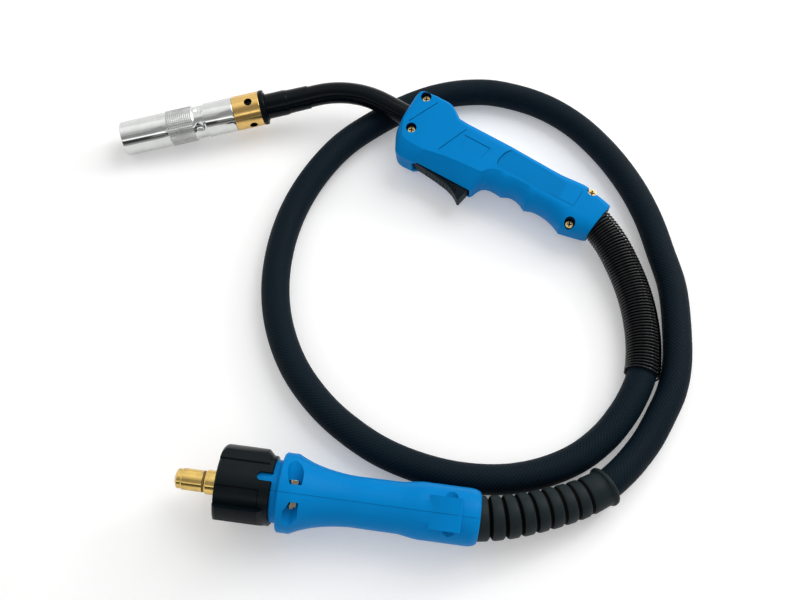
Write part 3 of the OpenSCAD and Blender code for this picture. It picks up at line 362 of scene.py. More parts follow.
# ---- shader helpers
class Nodes:
    """Short ways to build a node tree."""

    def __init__(self, tree):
        self.tree = tree

    def node(self, kind, **inputs):
        made = self.tree.nodes.new(kind)
        for key, value in inputs.items():
            made.inputs[key.replace("_", " ")].default_value = value
        return made

    def link(self, a, b):
        self.tree.links.new(a, b)

    def set_or_link(self, socket, value):
        if isinstance(value, bpy.types.NodeSocket):
            self.link(value, socket)
        else:
            socket.default_value = value

    def maths(self, operation, a, b):
        made = self.tree.nodes.new("ShaderNodeMath")
        made.operation = operation
        for socket, value in zip(made.inputs, (a, b)):
            self.set_or_link(socket, value)
        return made.outputs[0]

    def sine(self, angle):
        made = self.tree.nodes.new("ShaderNodeMath")
        made.operation = "SINE"
        self.link(angle, made.inputs[0])
        return made.outputs[0]

    def highest(self, first, *others):
        """Highest of some values."""
        for other in others:
            first = self.maths("MAXIMUM", first, other)
        return first

    def mix(self, factor, a, b):
        """Colour between a at 0 and b at 1."""
        made = self.tree.nodes.new("ShaderNodeMix")
        made.data_type = "RGBA"
        sockets = {socket.identifier: socket for socket in (*made.inputs, *made.outputs)}
        self.set_or_link(sockets["Factor_Float"], factor)
        for key, value in (("A_Color", a), ("B_Color", b)):
            if not isinstance(value, bpy.types.NodeSocket):
                value = (*value[:3], 1)
            self.set_or_link(sockets[key], value)
        return sockets["Result_Color"]

    def span(self, value, low, high, out_low, out_high):
        """Maps low to high onto out_low to out_high."""
        made = self.node("ShaderNodeMapRange", From_Min=low, From_Max=high, To_Min=out_low,
                         To_Max=out_high)
        self.link(value, made.inputs["Value"])
        return made.outputs["Result"]

    def noise(self, vector, scale, detail=2.0):
        made = self.node("ShaderNodeTexNoise", Detail=detail)
        self.link(vector, made.inputs["Vector"])
        self.set_or_link(made.inputs["Scale"], scale)
        return made.outputs["Fac"]


class Shader(Nodes):
    """One material on the Principled shader."""

    def __init__(self, name):
        self.material = bpy.data.materials.new(name)
        self.material.use_nodes = True
        super().__init__(self.material.node_tree)
        self.principled = self.tree.nodes["Principled BSDF"]
        self.coords = self.tree.nodes.new("ShaderNodeTexCoord")

    def group(self, tree, vector, **inputs):
        made = self.tree.nodes.new("ShaderNodeGroup")
        made.node_tree = tree
        self.link(vector, made.inputs["Vector"])
        for key, value in inputs.items():
            made.inputs[key.replace("_", " ")].default_value = value
        return made.outputs

    def local(self, matrix):
        """Object coordinates seen from a place on the torch."""
        mapping = self.node("ShaderNodeMapping")
        place, turn, _ = matrix.inverted().decompose()
        mapping.inputs["Location"].default_value = place
        mapping.inputs["Rotation"].default_value = turn.to_euler()
        self.link(self.coords.outputs["Object"], mapping.inputs["Vector"])
        return mapping.outputs["Vector"]

    def set(self, **values):
        for key, value in values.items():
            self.principled.inputs[key.replace("_", " ")].default_value = value

    def feed(self, socket, output):
        self.link(output, self.principled.inputs[socket])

    def bump(self, height, distance):
        """Normal for a height, as deep as distance in millimetres."""
        made = self.node("ShaderNodeBump", Strength=1.0, Distance=distance * MM)
        self.link(height, made.inputs["Height"])
        return made.outputs["Normal"]


def new_group(name, inputs, outputs):
    """Node group, its input node and its output node."""
    tree = bpy.data.node_groups.new(name, "ShaderNodeTree")
    for label, kind, value in inputs:
        socket = tree.interface.new_socket(label, in_out="INPUT", socket_type=kind)
        if value is not None:
            socket.default_value = value
    for label in outputs:
        tree.interface.new_socket(label, in_out="OUTPUT", socket_type="NodeSocketFloat")
    return Nodes(tree), tree.nodes.new("NodeGroupInput"), tree.nodes.new("NodeGroupOutput")


def grain_group():
    """Fine moulded grain, slow cloudy variation and sparse handling marks."""
    nodes, start, end = new_group("moulded_grain", (("Vector", "NodeSocketVector", None),
                                                    ("Grain Scale", "NodeSocketFloat", 1400.0),
                                                    ("Cloud Scale", "NodeSocketFloat", 60.0)),
                                  ("Grain", "Cloud", "Marks"))
    vector = start.outputs["Vector"]
    nodes.link(nodes.noise(vector, start.outputs["Grain Scale"]), end.inputs["Grain"])
    nodes.link(nodes.noise(vector, start.outputs["Cloud Scale"], 3), end.inputs["Cloud"])
    nodes.link(nodes.span(nodes.noise(vector, 420.0, 5), 0.6, 0.72, 0, 1), end.inputs["Marks"])
    return nodes.tree


def turned_group():
    """Fine rings round Z, as a lathe leaves them, with smudges."""
    nodes, start, end = new_group("turned_rings", (("Vector", "NodeSocketVector", None),
                                                   ("Ring Scale", "NodeSocketFloat", 3000.0)),
                                  ("Rings", "Smudge"))
    stretch = nodes.node("ShaderNodeVectorMath")
    stretch.operation = "MULTIPLY"
    stretch.inputs[1].default_value = (0.02, 0.02, 1.0)
    nodes.link(start.outputs["Vector"], stretch.inputs[0])
    nodes.link(nodes.noise(stretch.outputs[0], start.outputs["Ring Scale"], 3), end.inputs["Rings"])
    nodes.link(nodes.noise(start.outputs["Vector"], 120.0, 4), end.inputs["Smudge"])
    return nodes.tree


# ---- finishes
GROUPS = {}
FINISHES = {}


def shade(base, share):
    """A colour made lighter or darker."""
    return [min(1, c * share) for c in base]


def moulded(name, base, rough, grain_scale, depth, specular):
    """Moulded plastic or rubber, its grain as deep as some millimetres."""
    cloud, mark = 0.06, 0.12
    shader = Shader(name)
    grain = shader.group(GROUPS["grain"], shader.coords.outputs["Object"], Grain_Scale=grain_scale,
                         Cloud_Scale=45.0)
    plain = shader.mix(grain["Cloud"], shade(base, 1 - cloud), shade(base, 1 + cloud))
    worn = [c * 0.8 + 0.02 for c in base]
    marked = shader.maths("MULTIPLY", grain["Marks"], mark)
    shader.feed("Base Color", shader.mix(marked, plain, worn))
    shader.feed("Roughness", shader.span(grain["Cloud"], 0.3, 0.7, rough - 0.05, rough + 0.05))
    shader.feed("Normal", shader.bump(grain["Grain"], depth))
    shader.set(Specular_IOR_Level=specular)
    return shader


def metal(name, base, rough, place, depth, tint):
    """Turned metal, its rings round Z of the place it sits at, with darker smudges."""
    shader = Shader(name)
    rings = shader.group(GROUPS["turned"], shader.local(place), Ring_Scale=2600)
    soft = shader.span(rings["Smudge"], 0.35, 0.65, 0, 1)
    shader.feed("Base Color", shader.mix(soft, shade(base, 1 - tint), base))
    shader.feed("Roughness", shader.span(rings["Smudge"], 0.3, 0.7, rough * 1.3, rough * 0.8))
    shader.feed("Normal", shader.bump(rings["Rings"], depth))
    shader.set(Metallic=1.0)
    return shader


def cable_finish():
    """Dark cover with the fine slanting print of the cloth it was cured in."""
    print_along, print_around = 1.3 * MM, 1.5 * MM
    base = colours().cable
    shader = Shader("cable_rubber")
    uv = shader.tree.nodes.new("ShaderNodeSeparateXYZ")
    shader.link(shader.coords.outputs["UV"], uv.inputs[0])
    around = math.pi * sizes().cable_width
    a = shader.maths("MULTIPLY", uv.outputs["X"], round(CABLE_TOTAL / print_along))
    b = shader.maths("MULTIPLY", uv.outputs["Y"], round(around / print_around))
    one, two = (shader.sine(shader.maths("MULTIPLY", shader.maths(way, a, b), math.pi))
                for way in ("ADD", "SUBTRACT"))
    weave = shader.maths("ADD", shader.maths("MULTIPLY", one, 0.75),
                         shader.maths("MULTIPLY", two, 0.25))
    grain = shader.group(GROUPS["grain"], shader.coords.outputs["Object"], Grain_Scale=900.0,
                         Cloud_Scale=30.0)
    height = shader.maths("ADD", shader.maths("MULTIPLY", weave, 0.6),
                          shader.maths("MULTIPLY", grain["Grain"], 0.5))
    shader.feed("Normal", shader.bump(height, 0.16))
    cloudy = shader.mix(grain["Cloud"], shade(base, 0.6), shade(base, 1.2))
    print_tone = shader.span(weave, -1, 1, 0, 0.6)
    shader.feed("Base Color", shader.mix(print_tone, cloudy, shade(base, 2.6)))
    shader.feed("Roughness", shader.span(grain["Cloud"], 0.3, 0.7, 0.5, 0.62))
    shader.set(Specular_IOR_Level=0.06)
    return shader


def make_finishes():
    """Every material of the torch, by the name of its slot."""
    GROUPS["grain"] = grain_group()
    GROUPS["turned"] = turned_group()
    c = colours()
    # colour, roughness, scale and depth of the grain, specular level
    moulded_rows = {
        "handle_plastic": (c.plastic, 0.42, 1500, 0.03, 0.04),
        "grip_stipple": (shade(c.plastic, 0.9), 0.5, 1100, 0.14, 0.04),
        # near-black blue: painted shade in the handle's screw wells and on the walls of its pressed
        # forms
        "recess_plastic": (shade(c.plastic, 0.12), 0.5, 1500, 0.03, 0.04),
        # darker copy of the plastic: painted shade along pressed edges and the housing's seam
        "line_plastic": (shade(c.plastic, 0.45), 0.5, 1500, 0.03, 0.04),
        "housing_plastic": (c.plastic, 0.36, 1500, 0.02, 0.05),
        "trigger_plastic": ((0.006, 0.012, 0.018), 0.4, 1600, 0.03, 0.05),
        "nut_plastic": (c.black, 0.3, 1400, 0.03, 0.12),
        "dark_insulator": (shade(c.black, 0.6), 0.35, 1200, 0.02, 0.08),
        # near black: painted shade in notches, holes, screw crosses, pits and panel edges
        "dark_recess": ((0.002, 0.002, 0.002), 0.6, 1300, 0.01, 0.02),
        "neck_rubber": ((0.0008, 0.0028, 0.0048), 0.2, 500, 0.05, 0.1),
        "sleeve_rubber": (c.rubber, 0.5, 1300, 0.03, 0.12),
        # brass darkened to a brown: the seal wears painted shade of the spigot's groove it sits in
        "seal_rubber": ((0.28, 0.19, 0.07), 0.35, 1300, 0.02, 0.08),
        "button_plastic": ((0.5, 0.02, 0.015), 0.3, 1300, 0.01, 0.08),
        "lead_insulation": ((0.4, 0.02, 0.015), 0.4, 1300, 0.01, 0.08),
        "spring_steel": ((0.001, 0.001, 0.0015), 0.18, 700, 0.01, 0.25),
    }
    # colour, roughness, place, depth of the rings, strength of the smudges
    metal_rows = {
        "nozzle_chrome": (c.chrome, 0.07, NECK_END, 0.006, 0.08),
        # knurl faces: rougher chrome, its colour darkened a tenth as painted shade of the knurl
        "knurl_chrome": (shade(c.chrome, 0.9), 0.25, NECK_END, 0.006, 0.2),
        # chrome darkened to a third: painted shade in the knurl's grooves
        "knurl_groove": (shade(c.chrome, 0.35), 0.3, NECK_END, 0.006, 0.2),
        "brass": (c.brass, 0.18, NECK_END, 0.01, 0.12),
        "copper": ((0.75, 0.36, 0.22), 0.3, NECK_END, 0.01, 0.12),
        "spigot_brass": (c.gold, 0.16, PLUG_AXIS, 0.012, 0.25),
        "steel": ((0.6, 0.6, 0.6), 0.3, PLUG_AXIS, 0.01, 0.12),
        "screw_brass": ((0.6, 0.46, 0.22), 0.22, GUN, 0.01, 0.3),
        "screw_steel": ((0.4, 0.36, 0.26), 0.2, PLUG, 0.01, 0.3),
    }
    for rows, make in ((moulded_rows, moulded), (metal_rows, metal)):
        for name, row in rows.items():
            FINISHES[name] = make(name, *row).material
    FINISHES["cable_rubber"] = cable_finish().material


# ---- steps
class Step(bpy.types.Operator):
    """One building step of the torch"""
    bl_options = {"REGISTER", "UNDO"}

    def execute(self, context):
        self.build()
        return {"FINISHED"}


CAMERA_AT, CAMERA_AIM = Vector((16, -309.5, 644.5)), Vector((16, 0, 10))
# name, watts, width and place in metres
LAMPS = (("key", 13.5, 1.3, (0.75, 0.75, 1.2)),
         ("side", 3.5, 0.22, (1.17, 0.65, 0.69)),
         ("fill", 1.3, 1.3, (-0.9, 0.3, 1.1)),
         ("front", 0.5, 0.9, (0.1, -1.0, 0.9)))
# what polished pieces see: degrees from straight up towards the front, and brightness
TONES = ((-90, 1.1), (-20, 1.1), (2, 0.75), (10, 0.42), (44, 0.36), (48, 1.6), (54, 1.6),
         (57, 0.06), (72, 0.05), (80, 0.3), (90, 0.6))
ROOM_LIGHT = (0.52, 0.52, 0.52)


class TORCH_OT_stage(Step):
    """Floor, soft light and the camera"""
    bl_idname = "torch.stage"
    bl_label = "Stage"

    def build(self):
        scene = bpy.context.scene
        scene.view_settings.view_transform = "Standard"
        camera = bpy.data.cameras.new("camera")
        camera.lens = 45
        camera.sensor_width = 36
        camera.clip_end = 20
        viewer = bpy.data.objects.new("camera", camera)
        place, aim = CAMERA_AT * MM, CAMERA_AIM * MM
        viewer.location = place
        viewer.rotation_euler = (aim - place).to_track_quat("-Z", "Y").to_euler()
        scene.collection.objects.link(viewer)
        scene.camera = viewer
        self.floor(scene)
        self.lamps(scene)
        self.room(scene)

    def floor(self, scene):
        """Wide pale floor, which turns white where the lamps no longer reach."""
        reach, below = 30.0, 0.2 * MM
        lit_to, white_from, near_glow, far_glow = 0.5, 2.0, 0.24, 1.0
        bm = bmesh.new()
        bmesh.ops.create_grid(bm, x_segments=1, y_segments=1, size=reach,
                              matrix=Matrix.Translation((0, 0, -below)))
        mesh = bpy.data.meshes.new("floor")
        bm.to_mesh(mesh)
        bm.free()
        floor = bpy.data.objects.new("floor", mesh)
        scene.collection.objects.link(floor)
        shader = Shader("floor")
        shader.set(Roughness=0.9, Specular_IOR_Level=0.0, Emission_Color=(1, 1, 1, 1))
        pale = colours().floor
        cloud = shader.noise(shader.coords.outputs["Object"], 3.0)
        shader.feed("Base Color", shader.mix(cloud, shade(pale, 0.985), pale))
        rays = shader.node("ShaderNodeLightPath").outputs
        seen = shader.highest(rays["Is Camera Ray"], rays["Is Glossy Ray"],
                              rays["Is Transmission Ray"])
        far = shader.node("ShaderNodeVectorMath")
        far.operation = "LENGTH"
        shader.link(shader.coords.outputs["Object"], far.inputs[0])
        glow = shader.span(far.outputs["Value"], lit_to, white_from, near_glow, far_glow)
        shader.feed("Emission Strength", shader.maths("MULTIPLY", seen, glow))
        mesh.materials.append(shader.material)

    def lamps(self, scene):
        for name, energy, size, spot in LAMPS:
            lamp = bpy.data.lights.new(name, "AREA")
            lamp.energy = energy
            lamp.size = size
            lit = bpy.data.objects.new(name, lamp)
            lit.location = spot
            lit.rotation_euler = (-Vector(spot)).to_track_quat("-Z", "Y").to_euler()
            scene.collection.objects.link(lit)

    def room(self, scene):
        """White tent that is darker where the camera stands."""
        world = bpy.data.worlds.new("soft_room")
        scene.world = world
        world.use_nodes = True
        nodes = Nodes(world.node_tree)
        where = nodes.node("ShaderNodeTexCoord")
        parts = nodes.node("ShaderNodeSeparateXYZ")
        nodes.link(where.outputs["Generated"], parts.inputs[0])
        front = nodes.maths("MULTIPLY", parts.outputs["Y"], -1.0)
        radians = nodes.maths("ARCTAN2", front, parts.outputs["Z"])
        angle = nodes.maths("MULTIPLY", radians, 180 / math.pi)
        ramp = nodes.node("ShaderNodeValToRGB")
        bar = ramp.color_ramp
        first, last = TONES[0][0], TONES[-1][0]
        for k, (degrees, tone) in enumerate(TONES):
            stop = bar.elements[k] if k < 2 else bar.elements.new(1.0)
            stop.position = (degrees - first) / (last - first)
            stop.color = (tone, tone, tone, 1)
        nodes.link(nodes.span(angle, first, last, 0, 1), ramp.inputs["Fac"])
        rays = nodes.node("ShaderNodeLightPath").outputs
        level = nodes.mix(rays["Is Glossy Ray"], ROOM_LIGHT, ramp.outputs["Color"])
        white = nodes.highest(rays["Is Camera Ray"], rays["Is Transmission Ray"])
        background = world.node_tree.nodes["Background"]
        nodes.link(nodes.mix(white, level, (1, 1, 1)), background.inputs["Color"])


class TORCH_OT_cable(Step):
    """Power cable from the plug to the gun"""
    bl_idname = "torch.cable"
    bl_label = "Cable"

    def build(self):
        spacing = 4 * MM
        count = round(CABLE_TOTAL / spacing)
        points = [route_at(u_at(CABLE_FROM + CABLE_TOTAL * k / count)) for k in range(count)]
        points.append(route_at(len(ROUTE) - 1))
        piece = curve_piece("power_cable", "cable_rubber", [points], sizes().cable_width / 2, 14,
                            replaces=("cable",))


class TORCH_OT_spring(Step):
    """Anti-kink spring round the cable behind the handle"""
    bl_idname = "torch.spring"
    bl_label = "Anti-kink spring"

    def build(self):
        s = sizes()
        seat, inner, per_turn = 8 * MM, 10.68 * MM, 28
        wire = s.spring_wire
        radius = inner + wire / 2
        turns = (s.spring_reach + seat - 2 * wire) / s.spring_pitch
        points = []
        for k in range(round(turns * per_turn) + 1):
            turn = k / per_turn
            place = route_frame(HANDLE_S + seat - wire - s.spring_pitch * turn)
            angle = math.tau * turn
            points.append(place @ Vector((radius * math.cos(angle), radius * math.sin(angle), 0)))
        curve_piece("anti_kink_spring", "spring_steel", [points], wire / 2, 3,
                    replaces=("strain_spring",))


class TORCH_OT_bend_sleeve(Step):
    """Ribbed rubber sleeve where the cable leaves the plug"""
    bl_idname = "torch.bend_sleeve"
    bl_label = "Bend sleeve"

    def build(self):
        wide, cuff, lip, bore = sizes().sleeve_width / (2 * MM), 12, 13.6, 10.3
        start, tail, total = -13, 84.6, 88
        notches, first, pitch, notch_width, notch = 8, 5, 9.2, 2.8, 11.6

        def radius(s):
            return wide + (cuff - wide) * min(max(s / tail, 0), 1)

        outline = [(start, wide), (0, wide)]
        for k in range(notches):
            s = first + k * pitch
            e = s + notch_width
            outline += [(s - 0.9, radius(s)), (s - 0.3, radius(s) - 0.25),
                        (s + 0.3, radius(s) - 0.8), (s + 1.4, notch), (s + 1.7, notch),
                        (s + 2.6, radius(s) - 0.8), (e + 0.4, radius(e) - 0.25),
                        (e + 1.0, radius(e))]
        outline += [(tail - 4, cuff + 0.04), (tail - 0.8, cuff), (tail, cuff + 0.3),
                    (tail + 0.3, lip - 0.5), (tail + 0.9, lip - 0.05), (tail + 1.7, lip),
                    (tail + 2.6, lip - 0.1), (total - 0.2, lip - 0.6), (total, lip - 1.2)]
        inside = [(total, bore + 0.2)] + [(total - k * 8, bore) for k in range(1, 12)]
        inside.append((start, bore))
        bm = bmesh.new()
        sweep(bm, [(route_frame(EXIT_S + s * MM), r * MM) for s, r in outline + inside],
              closed=True, deep=(notch + 0.01) * MM)
        # bands deep in the notches take near-black painted shade
        finish_mesh(bm, "bend_sleeve_ribbed", "sleeve_rubber", 40, replaces=("bend_sleeve",),
                    further=("dark_recess",))


class TORCH_OT_neck(Step):
    """Jacketed neck with its end sleeve and the washer on it"""
    bl_idname = "torch.neck"
    bl_label = "Neck"

    def build(self):
        straight, bends, beyond = (134, 160, BEND_START), 24, (18, 36)
        radius = sizes().neck_width / 2
        stations = [Matrix.Translation((x * MM, NECK_Y * MM, 0)) @ ALONG_X for x in straight]
        for k in range(1, bends + 1):
            a = BEND_ANGLE * k / bends
            place = Vector((BEND_START + BEND_RADIUS * math.sin(a),
                            NECK_Y + BEND_RADIUS * (1 - math.cos(a)), 0))
            turn = Matrix.Rotation(a, 4, "Z")
            stations.append(Matrix.Translation(place * MM) @ turn @ ALONG_X)
        end = stations[-1]
        stations += [end @ Matrix.Translation((0, 0, s * MM)) for s in beyond]
        bm = bmesh.new()
        sweep(bm, [(GUN @ station, radius) for station in stations])
        finish_mesh(bm, "bent_neck", "neck_rubber", 50, replaces=("neck_jacket",))
        dressed_copy("neck_end_sleeve", "neck_ferrule", "neck_rubber", 0.2)
        bm = bmesh.new()
        revolve(bm, ((9.6, 0), (10.4, 0), (10.5, 0.9), (12.5, 0.9), (12.9, 1.2), (13.1, 1.6),
                     (13.1, 3.8), (12.6, 4.5), (9.6, 4.5)), 96)
        move_along(bm, NECK_END, WASHER_SEAT)
        finish_mesh(bm, "washer", "dark_insulator", replaces=("insulating_washer",))


# the nozzle's outer radius and the rows and columns of its knurl, in millimetres
KNURL_RADIUS, KNURL_FROM, KNURL_STEP, KNURL_ROWS, KNURL_COLUMNS = 13.25, 31.6, 0.5, 38, 168


class TORCH_OT_nozzle(Step):
    """Gas nozzle with its knurl and crimps, and the brass ring behind it"""
    bl_idname = "torch.nozzle"
    bl_label = "Nozzle"

    def build(self):
        outline = [(10, 85.6), (10, 60), (10, 21.5), (10.56, 19.5), (10.56, 0), (12.3, 0),
                   (12.7, 0.2), (12.92, 0.7), (12.95, 1.4), (12.95, 21.4), (12.8, 21.9),
                   (12.3, 22.4)]
        outline += [(12.15, 22.8 + 0.42 * k) for k in range(18)]
        outline += [(12.35, 30.4), (13.0, 31.2)]
        outline += [(KNURL_RADIUS, KNURL_FROM + KNURL_STEP * k) for k in range(KNURL_ROWS + 1)]
        outline += [(13.0, 50.9), (13.0, 55), (13.0, 84.9), (12.8, 85.9), (12.2, 86.5),
                    (11.6, 86.6), (10.8, 86.5)]
        bm = bmesh.new()
        revolve(bm, outline, KNURL_COLUMNS)
        for vert in bm.verts:
            out = Vector((vert.co.x, vert.co.y, 0))
            vert.co -= out.normalized() * self.sunk(vert.co.z / MM, out)
        self.mark_knurl(bm)
        move_along(bm, NECK_END, NOZZLE_SEAT)
        finish_mesh(bm, "nozzle_tube", "nozzle_chrome", 25, body_of("gas_nozzle"),
                    replaces=("gas_nozzle",), further=("knurl_chrome", "knurl_groove"))
        dressed_copy("brass_ring", "ring_with_holes", "brass", 0.12, spots=hole_wall_shade,
                     further=("dark_recess",))

    def sunk(self, along, out):
        """How far the knurl and the crimps sink a point of the tube, in metres."""
        around = math.atan2(out.y, out.x)
        row = (along - KNURL_FROM) / KNURL_STEP
        if out.length > 13.1 * MM and -0.1 < row < KNURL_ROWS + 0.1:
            row, column = round(row), round(around / math.tau * KNURL_COLUMNS)
            if (row + column) % 3 == 0 or (row - column) % 3 == 0:
                return sizes().knurl_depth
        if out.length > 11.8 * MM and 22.6 < along < 30.3:
            # crimps, sixty degrees apart, deepest towards the rear
            deepest, first, depth, reach, radius = 25.4, 15.5, 1.6 * MM, 3.9, 12.1
            turn = (math.degrees(around) - first + 30) % 60 - 30
            past = (along - deepest) * (0.9 if along > deepest else 1.6)
            gap = math.hypot(math.radians(turn) * radius, past)
            return depth * max(0, 1 - (gap / reach) ** 2)
        return 0

    def mark_knurl(self, bm):
        """Gives the knurl's faces the second finish, and its grooves the third, which paints shade
        into them.
        """
        groove = KNURL_RADIUS * MM - 0.5 * sizes().knurl_depth
        knurl_to = KNURL_FROM + KNURL_STEP * KNURL_ROWS
        for face in bm.faces:
            middle = face.calc_center_median()
            if middle.xy.length > 12.9 * MM and KNURL_FROM < middle.z / MM < knurl_to:
                low = sum(v.co.xy.length < groove for v in face.verts)
                face.material_index = 2 if low > 2 else 1


# ---- spots that take a further finish, the grip's stipple or painted shade, all in millimetres
# screws: place in the plane across them and height of the head's top
HANDLE_SCREWS = ((154.4, -15, 12.4), (151.4, 11.8, 12.8), (13.6, -10.6, 9.4), (16.6, 17.9, 7.9))
CLAMP_SCREWS = ((31.8, 19.8, 8.0), (129.0, 15.4, 7.0))
# forms pressed into the handle's flat sides; heights are from the parting plane
FINE_LINES = (((144.4, -14.9), (155.6, 8.1)), ((115.4, -6.7), (125.3, 17)))
THUMB_LOW, THUMB_HIGH = (92, -2.9), (115, 7.8)
PANEL_LOW, PANEL_HIGH = (19, -10.2), (84, 8.2)
PRESSED_LOW, PRESSED_HIGH, LINE_FLOOR, PANEL_FLOOR = 15, 18, 16.6, 15.5


def seen_from(place, centre, normal):
    """Place and direction of a face seen from a place on the torch."""
    into = place.inverted()
    return (into @ centre) / MM, into.to_3x3() @ normal


def hole_wall_shade(centre, normal):
    """1, for near-black painted shade, on the walls of the ring's four holes."""
    at, way = seen_from(NECK_END, centre, normal)
    out = at.xy
    facing = abs(way.xy.dot(out)) / out.length
    return int(out.length > 10.9 and facing < 0.7 and 48 < at.z < 55.1)


def between(at, low, high):
    """Whether a place lies between two corners, seen along Z."""
    return low[0] < at.x < high[0] and low[1] < at.y < high[1]


def handle_spots(centre, normal):
    """2, painted shade, in screw wells and pressed lines and on the walls of pressed forms, 1 on
    the floor of the grip panel.
    """
    well, well_from, head_below, line = 4.0, 4, 2.2, 0.4
    at, way = seen_from(GUN, centre, normal)
    flat, height = at.xy, abs(at.z)
    for x, y, top in HANDLE_SCREWS:
        out = flat - Vector((x, y))
        wall = way.xy.dot(out) < -0.5 * out.length
        if at.z > well_from and out.length < well and (wall or at.z < top - head_below):
            return 2
    if height < PRESSED_LOW or height > PRESSED_HIGH:
        return 0
    upright = abs(way.z) < 0.6
    for a, b in FINE_LINES:
        a, b = Vector(a), Vector(b)
        run = (b - a).normalized()
        along = (flat - a).dot(run)
        if -line < along < (b - a).length + line and (flat - a - along * run).length < line:
            return 2 if upright or height < LINE_FLOOR else 0
    if upright and between(at, THUMB_LOW, THUMB_HIGH):
        return 2
    if between(at, PANEL_LOW, PANEL_HIGH):
        return 2 if upright else int(abs(height - PANEL_FLOOR) < 0.05)
    return 0


def in_cross(off, rise, facing, reach, deep):
    """Whether a face is in a screw's cross, which has a reach and a depth.

    The face lies off the screw's axis, rises over the head's top and faces along the axis so far.
    """
    return off < reach and rise > -deep and (abs(facing) < 0.5 or rise < -0.5)


def handle_cross_shade(centre, normal):
    """1, for near-black painted shade, in the crosses of the handle's screws."""
    at, way = seen_from(GUN, centre, normal)
    return int(any(in_cross(math.hypot(at.x - x, at.y - y), at.z - top, way.z, 2.1, 1.3)
                   for x, y, top in HANDLE_SCREWS))


def clamp_cross_shade(centre, normal):
    """1, for near-black painted shade, in the crosses of the plug's clamp screws."""
    at, way = seen_from(PLUG, centre, normal)
    return int(any(in_cross(math.hypot(at.x - x, abs(at.z) - z), at.y - top, way.y, 2.3, 1.4)
                   for x, z, top in CLAMP_SCREWS))


# edges of the pressed forms, as paths over the handle's flat sides, where lines of painted shade
# run
GRIP_PANEL = ((78.8, -9.6), (82.2, -4), (83.4, 1.4), (83.2, 5.1), (80.5, 7.2), (63, 6.6),
              (42, 7.4), (20, 6.4), (19.7, -6.4))
THUMB_REST = ((114.2, -2.2), (92.9, -2.2), (95.5, 7.2))


class TORCH_OT_handle(Step):
    """Handle shells, screws and trigger"""
    bl_idname = "torch.handle"
    bl_label = "Handle"

    def build(self):
        rounding = sizes().edge_round / MM
        for node, name in (("handle_top_shell", "handle_upper"),
                           ("handle_bottom_shell", "handle_lower")):
            # screw wells and pressed walls take painted shade, the grip panel's floor its stipple
            dressed_copy(node, name, "handle_plastic", rounding, 22, handle_spots,
                         ("grip_stipple", "recess_plastic"))
        # lines of painted shade along the grip panel and the thumb rest
        for node, name, side in (("handle_top_shell", "grip_shade_lines", 1),
                                 ("handle_bottom_shell", "grip_shade_lines_below", -1)):
            place = GUN @ Matrix.Diagonal((1, 1, side, 1))
            pressed_lines(name, node, "handle_plastic",
                          ((place, GRIP_PANEL), (place, THUMB_REST)), 0.16, "line_plastic")
        dressed_copy("trigger", "trigger_lever", "trigger_plastic", 0.3)
        self.pit_shade_dashes()
        dressed_copy("handle_screws", "handle_screw_heads", "screw_brass", 0.4,
                     spots=handle_cross_shade, further=("dark_recess",))

    def pit_shade_dashes(self):
        """Two rows of near-black dashes on each side of the trigger, along its lower edge, painted
        shade of its dotted grip.
        """
        front, edge, rows, dashes = 134.2, 30.9, (1.8, 4.0), 13
        first, pitch, dash, half_width = 5.0, 2.3, 1.2, 6
        runs = []
        for row in rows:
            for k in range(dashes):
                for z in (-half_width, half_width):
                    ends = []
                    for back in (first + pitch * k, first + dash + pitch * k):
                        y = edge + 0.105 * back + max(0, back - 22) ** 2 * 0.033 - row
                        ends.append(GUN @ (Vector((front - back, y, z)) * MM))
                    runs.append(ends)
        piece = curve_piece("trigger_pit_shade_dashes", "trigger_plastic", runs, 0.45 * MM, 1,
                            body_of("trigger"))
        finish_of(piece, "dark_recess")


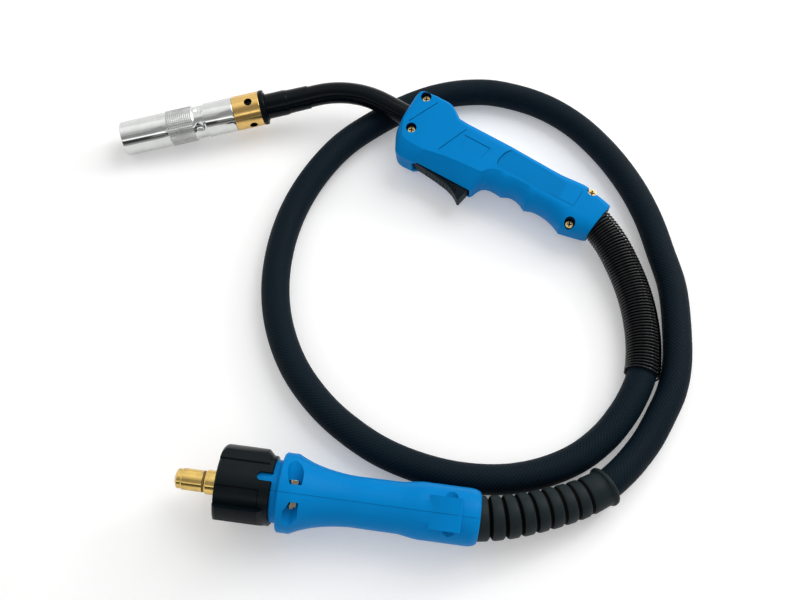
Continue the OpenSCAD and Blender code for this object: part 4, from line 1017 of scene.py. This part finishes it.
class TORCH_OT_plug(Step):
    """Plug housing, coupling nut and spigot"""
    bl_idname = "torch.plug"
    bl_label = "Plug"

    def build(self):
        for node, name in (("plug_housing_left", "housing_half_a"),
                           ("plug_housing_right", "housing_half_b")):
            dressed_copy(node, name, "housing_plastic", 0.25)
        # the seam's dark line is painted shade of the joint between the two halves
        seam = ((14, 0.1), (147.2, 0.1))
        pressed_lines("housing_seam_shade", "plug_housing_left", "housing_plastic",
                      [(PLUG @ Matrix.Diagonal((1, 1, side, 1)), seam) for side in (1, -1)],
                      0.13, "line_plastic")
        dressed_copy("coupling_nut", "nut_ribbed", "nut_plastic", 0.2)
        # dark lines of painted shade along the edges of the nut's three sunk panels
        edge = ((-16.2, -0.3), (10.8, -0.3), (10.8, -11.4))
        places = [PLUG @ Matrix.Rotation(math.radians(turn), 4, "X") for turn in (1, 121, 241)]
        pressed_lines("nut_panel_edge_shade", "coupling_nut", "nut_plastic",
                      [(place, edge) for place in places], 0.3, "dark_recess")
        dressed_copy("plug_spigot", "spigot_turned", "spigot_brass", 0.15)
        dressed_copy("clamp_screws", "clamp_screw_heads", "screw_steel", 0.3, spots=clamp_cross_shade,
                     further=("dark_recess",))
        dressed_copy("clamp_nuts", "clamp_nut_bodies", "screw_steel", 0.15)


class TORCH_OT_inner_pieces(Step):
    """Finishes of the pieces that stay as they are"""
    bl_idname = "torch.inner_pieces"
    bl_label = "Inner pieces"

    def build(self):
        wanted = {row["node"]: row["material_slot"] for row in frame["record"]["subparts"]}
        for node, piece in frame["nodes"].items():
            if not piece.hide_render:
                finish_of(piece, wanted[node])


STEPS_IN_ORDER = (TORCH_OT_stage, TORCH_OT_cable, TORCH_OT_spring, TORCH_OT_bend_sleeve,
                  TORCH_OT_neck, TORCH_OT_nozzle, TORCH_OT_handle, TORCH_OT_plug,
                  TORCH_OT_inner_pieces)


class TORCH_PT_panel(bpy.types.Panel):
    """Sizes, colours and building steps"""
    bl_idname = "TORCH_PT_panel"
    bl_label = "Welding torch"
    bl_space_type = "VIEW_3D"
    bl_region_type = "UI"
    bl_category = "Torch"

    def draw(self, context):
        for group in (context.scene.torch_sizes, context.scene.torch_colours):
            for key in group.bl_rna.properties.keys():
                if key not in ("rna_type", "name"):
                    self.layout.prop(group, key)
        for step in STEPS_IN_ORDER:
            self.layout.operator(step.bl_idname)


CLASSES = (TorchSizes, TorchColours, *STEPS_IN_ORDER, TORCH_PT_panel)


def register():
    for cls in CLASSES:
        bpy.utils.register_class(cls)
    bpy.types.Scene.torch_sizes = bpy.props.PointerProperty(type=TorchSizes)
    bpy.types.Scene.torch_colours = bpy.props.PointerProperty(type=TorchColours)


def unregister():
    del bpy.types.Scene.torch_colours
    del bpy.types.Scene.torch_sizes
    for cls in reversed(CLASSES):
        bpy.utils.unregister_class(cls)


def measure():
    """Brings the view layer up to date."""
    bpy.context.view_layer.update()


def main():
    register()
    make_finishes()
    for step in STEPS_IN_ORDER:
        group, name = step.bl_idname.split(".")
        getattr(getattr(bpy.ops, group), name)()
    measure()


if __name__ == "__main__":
    main()
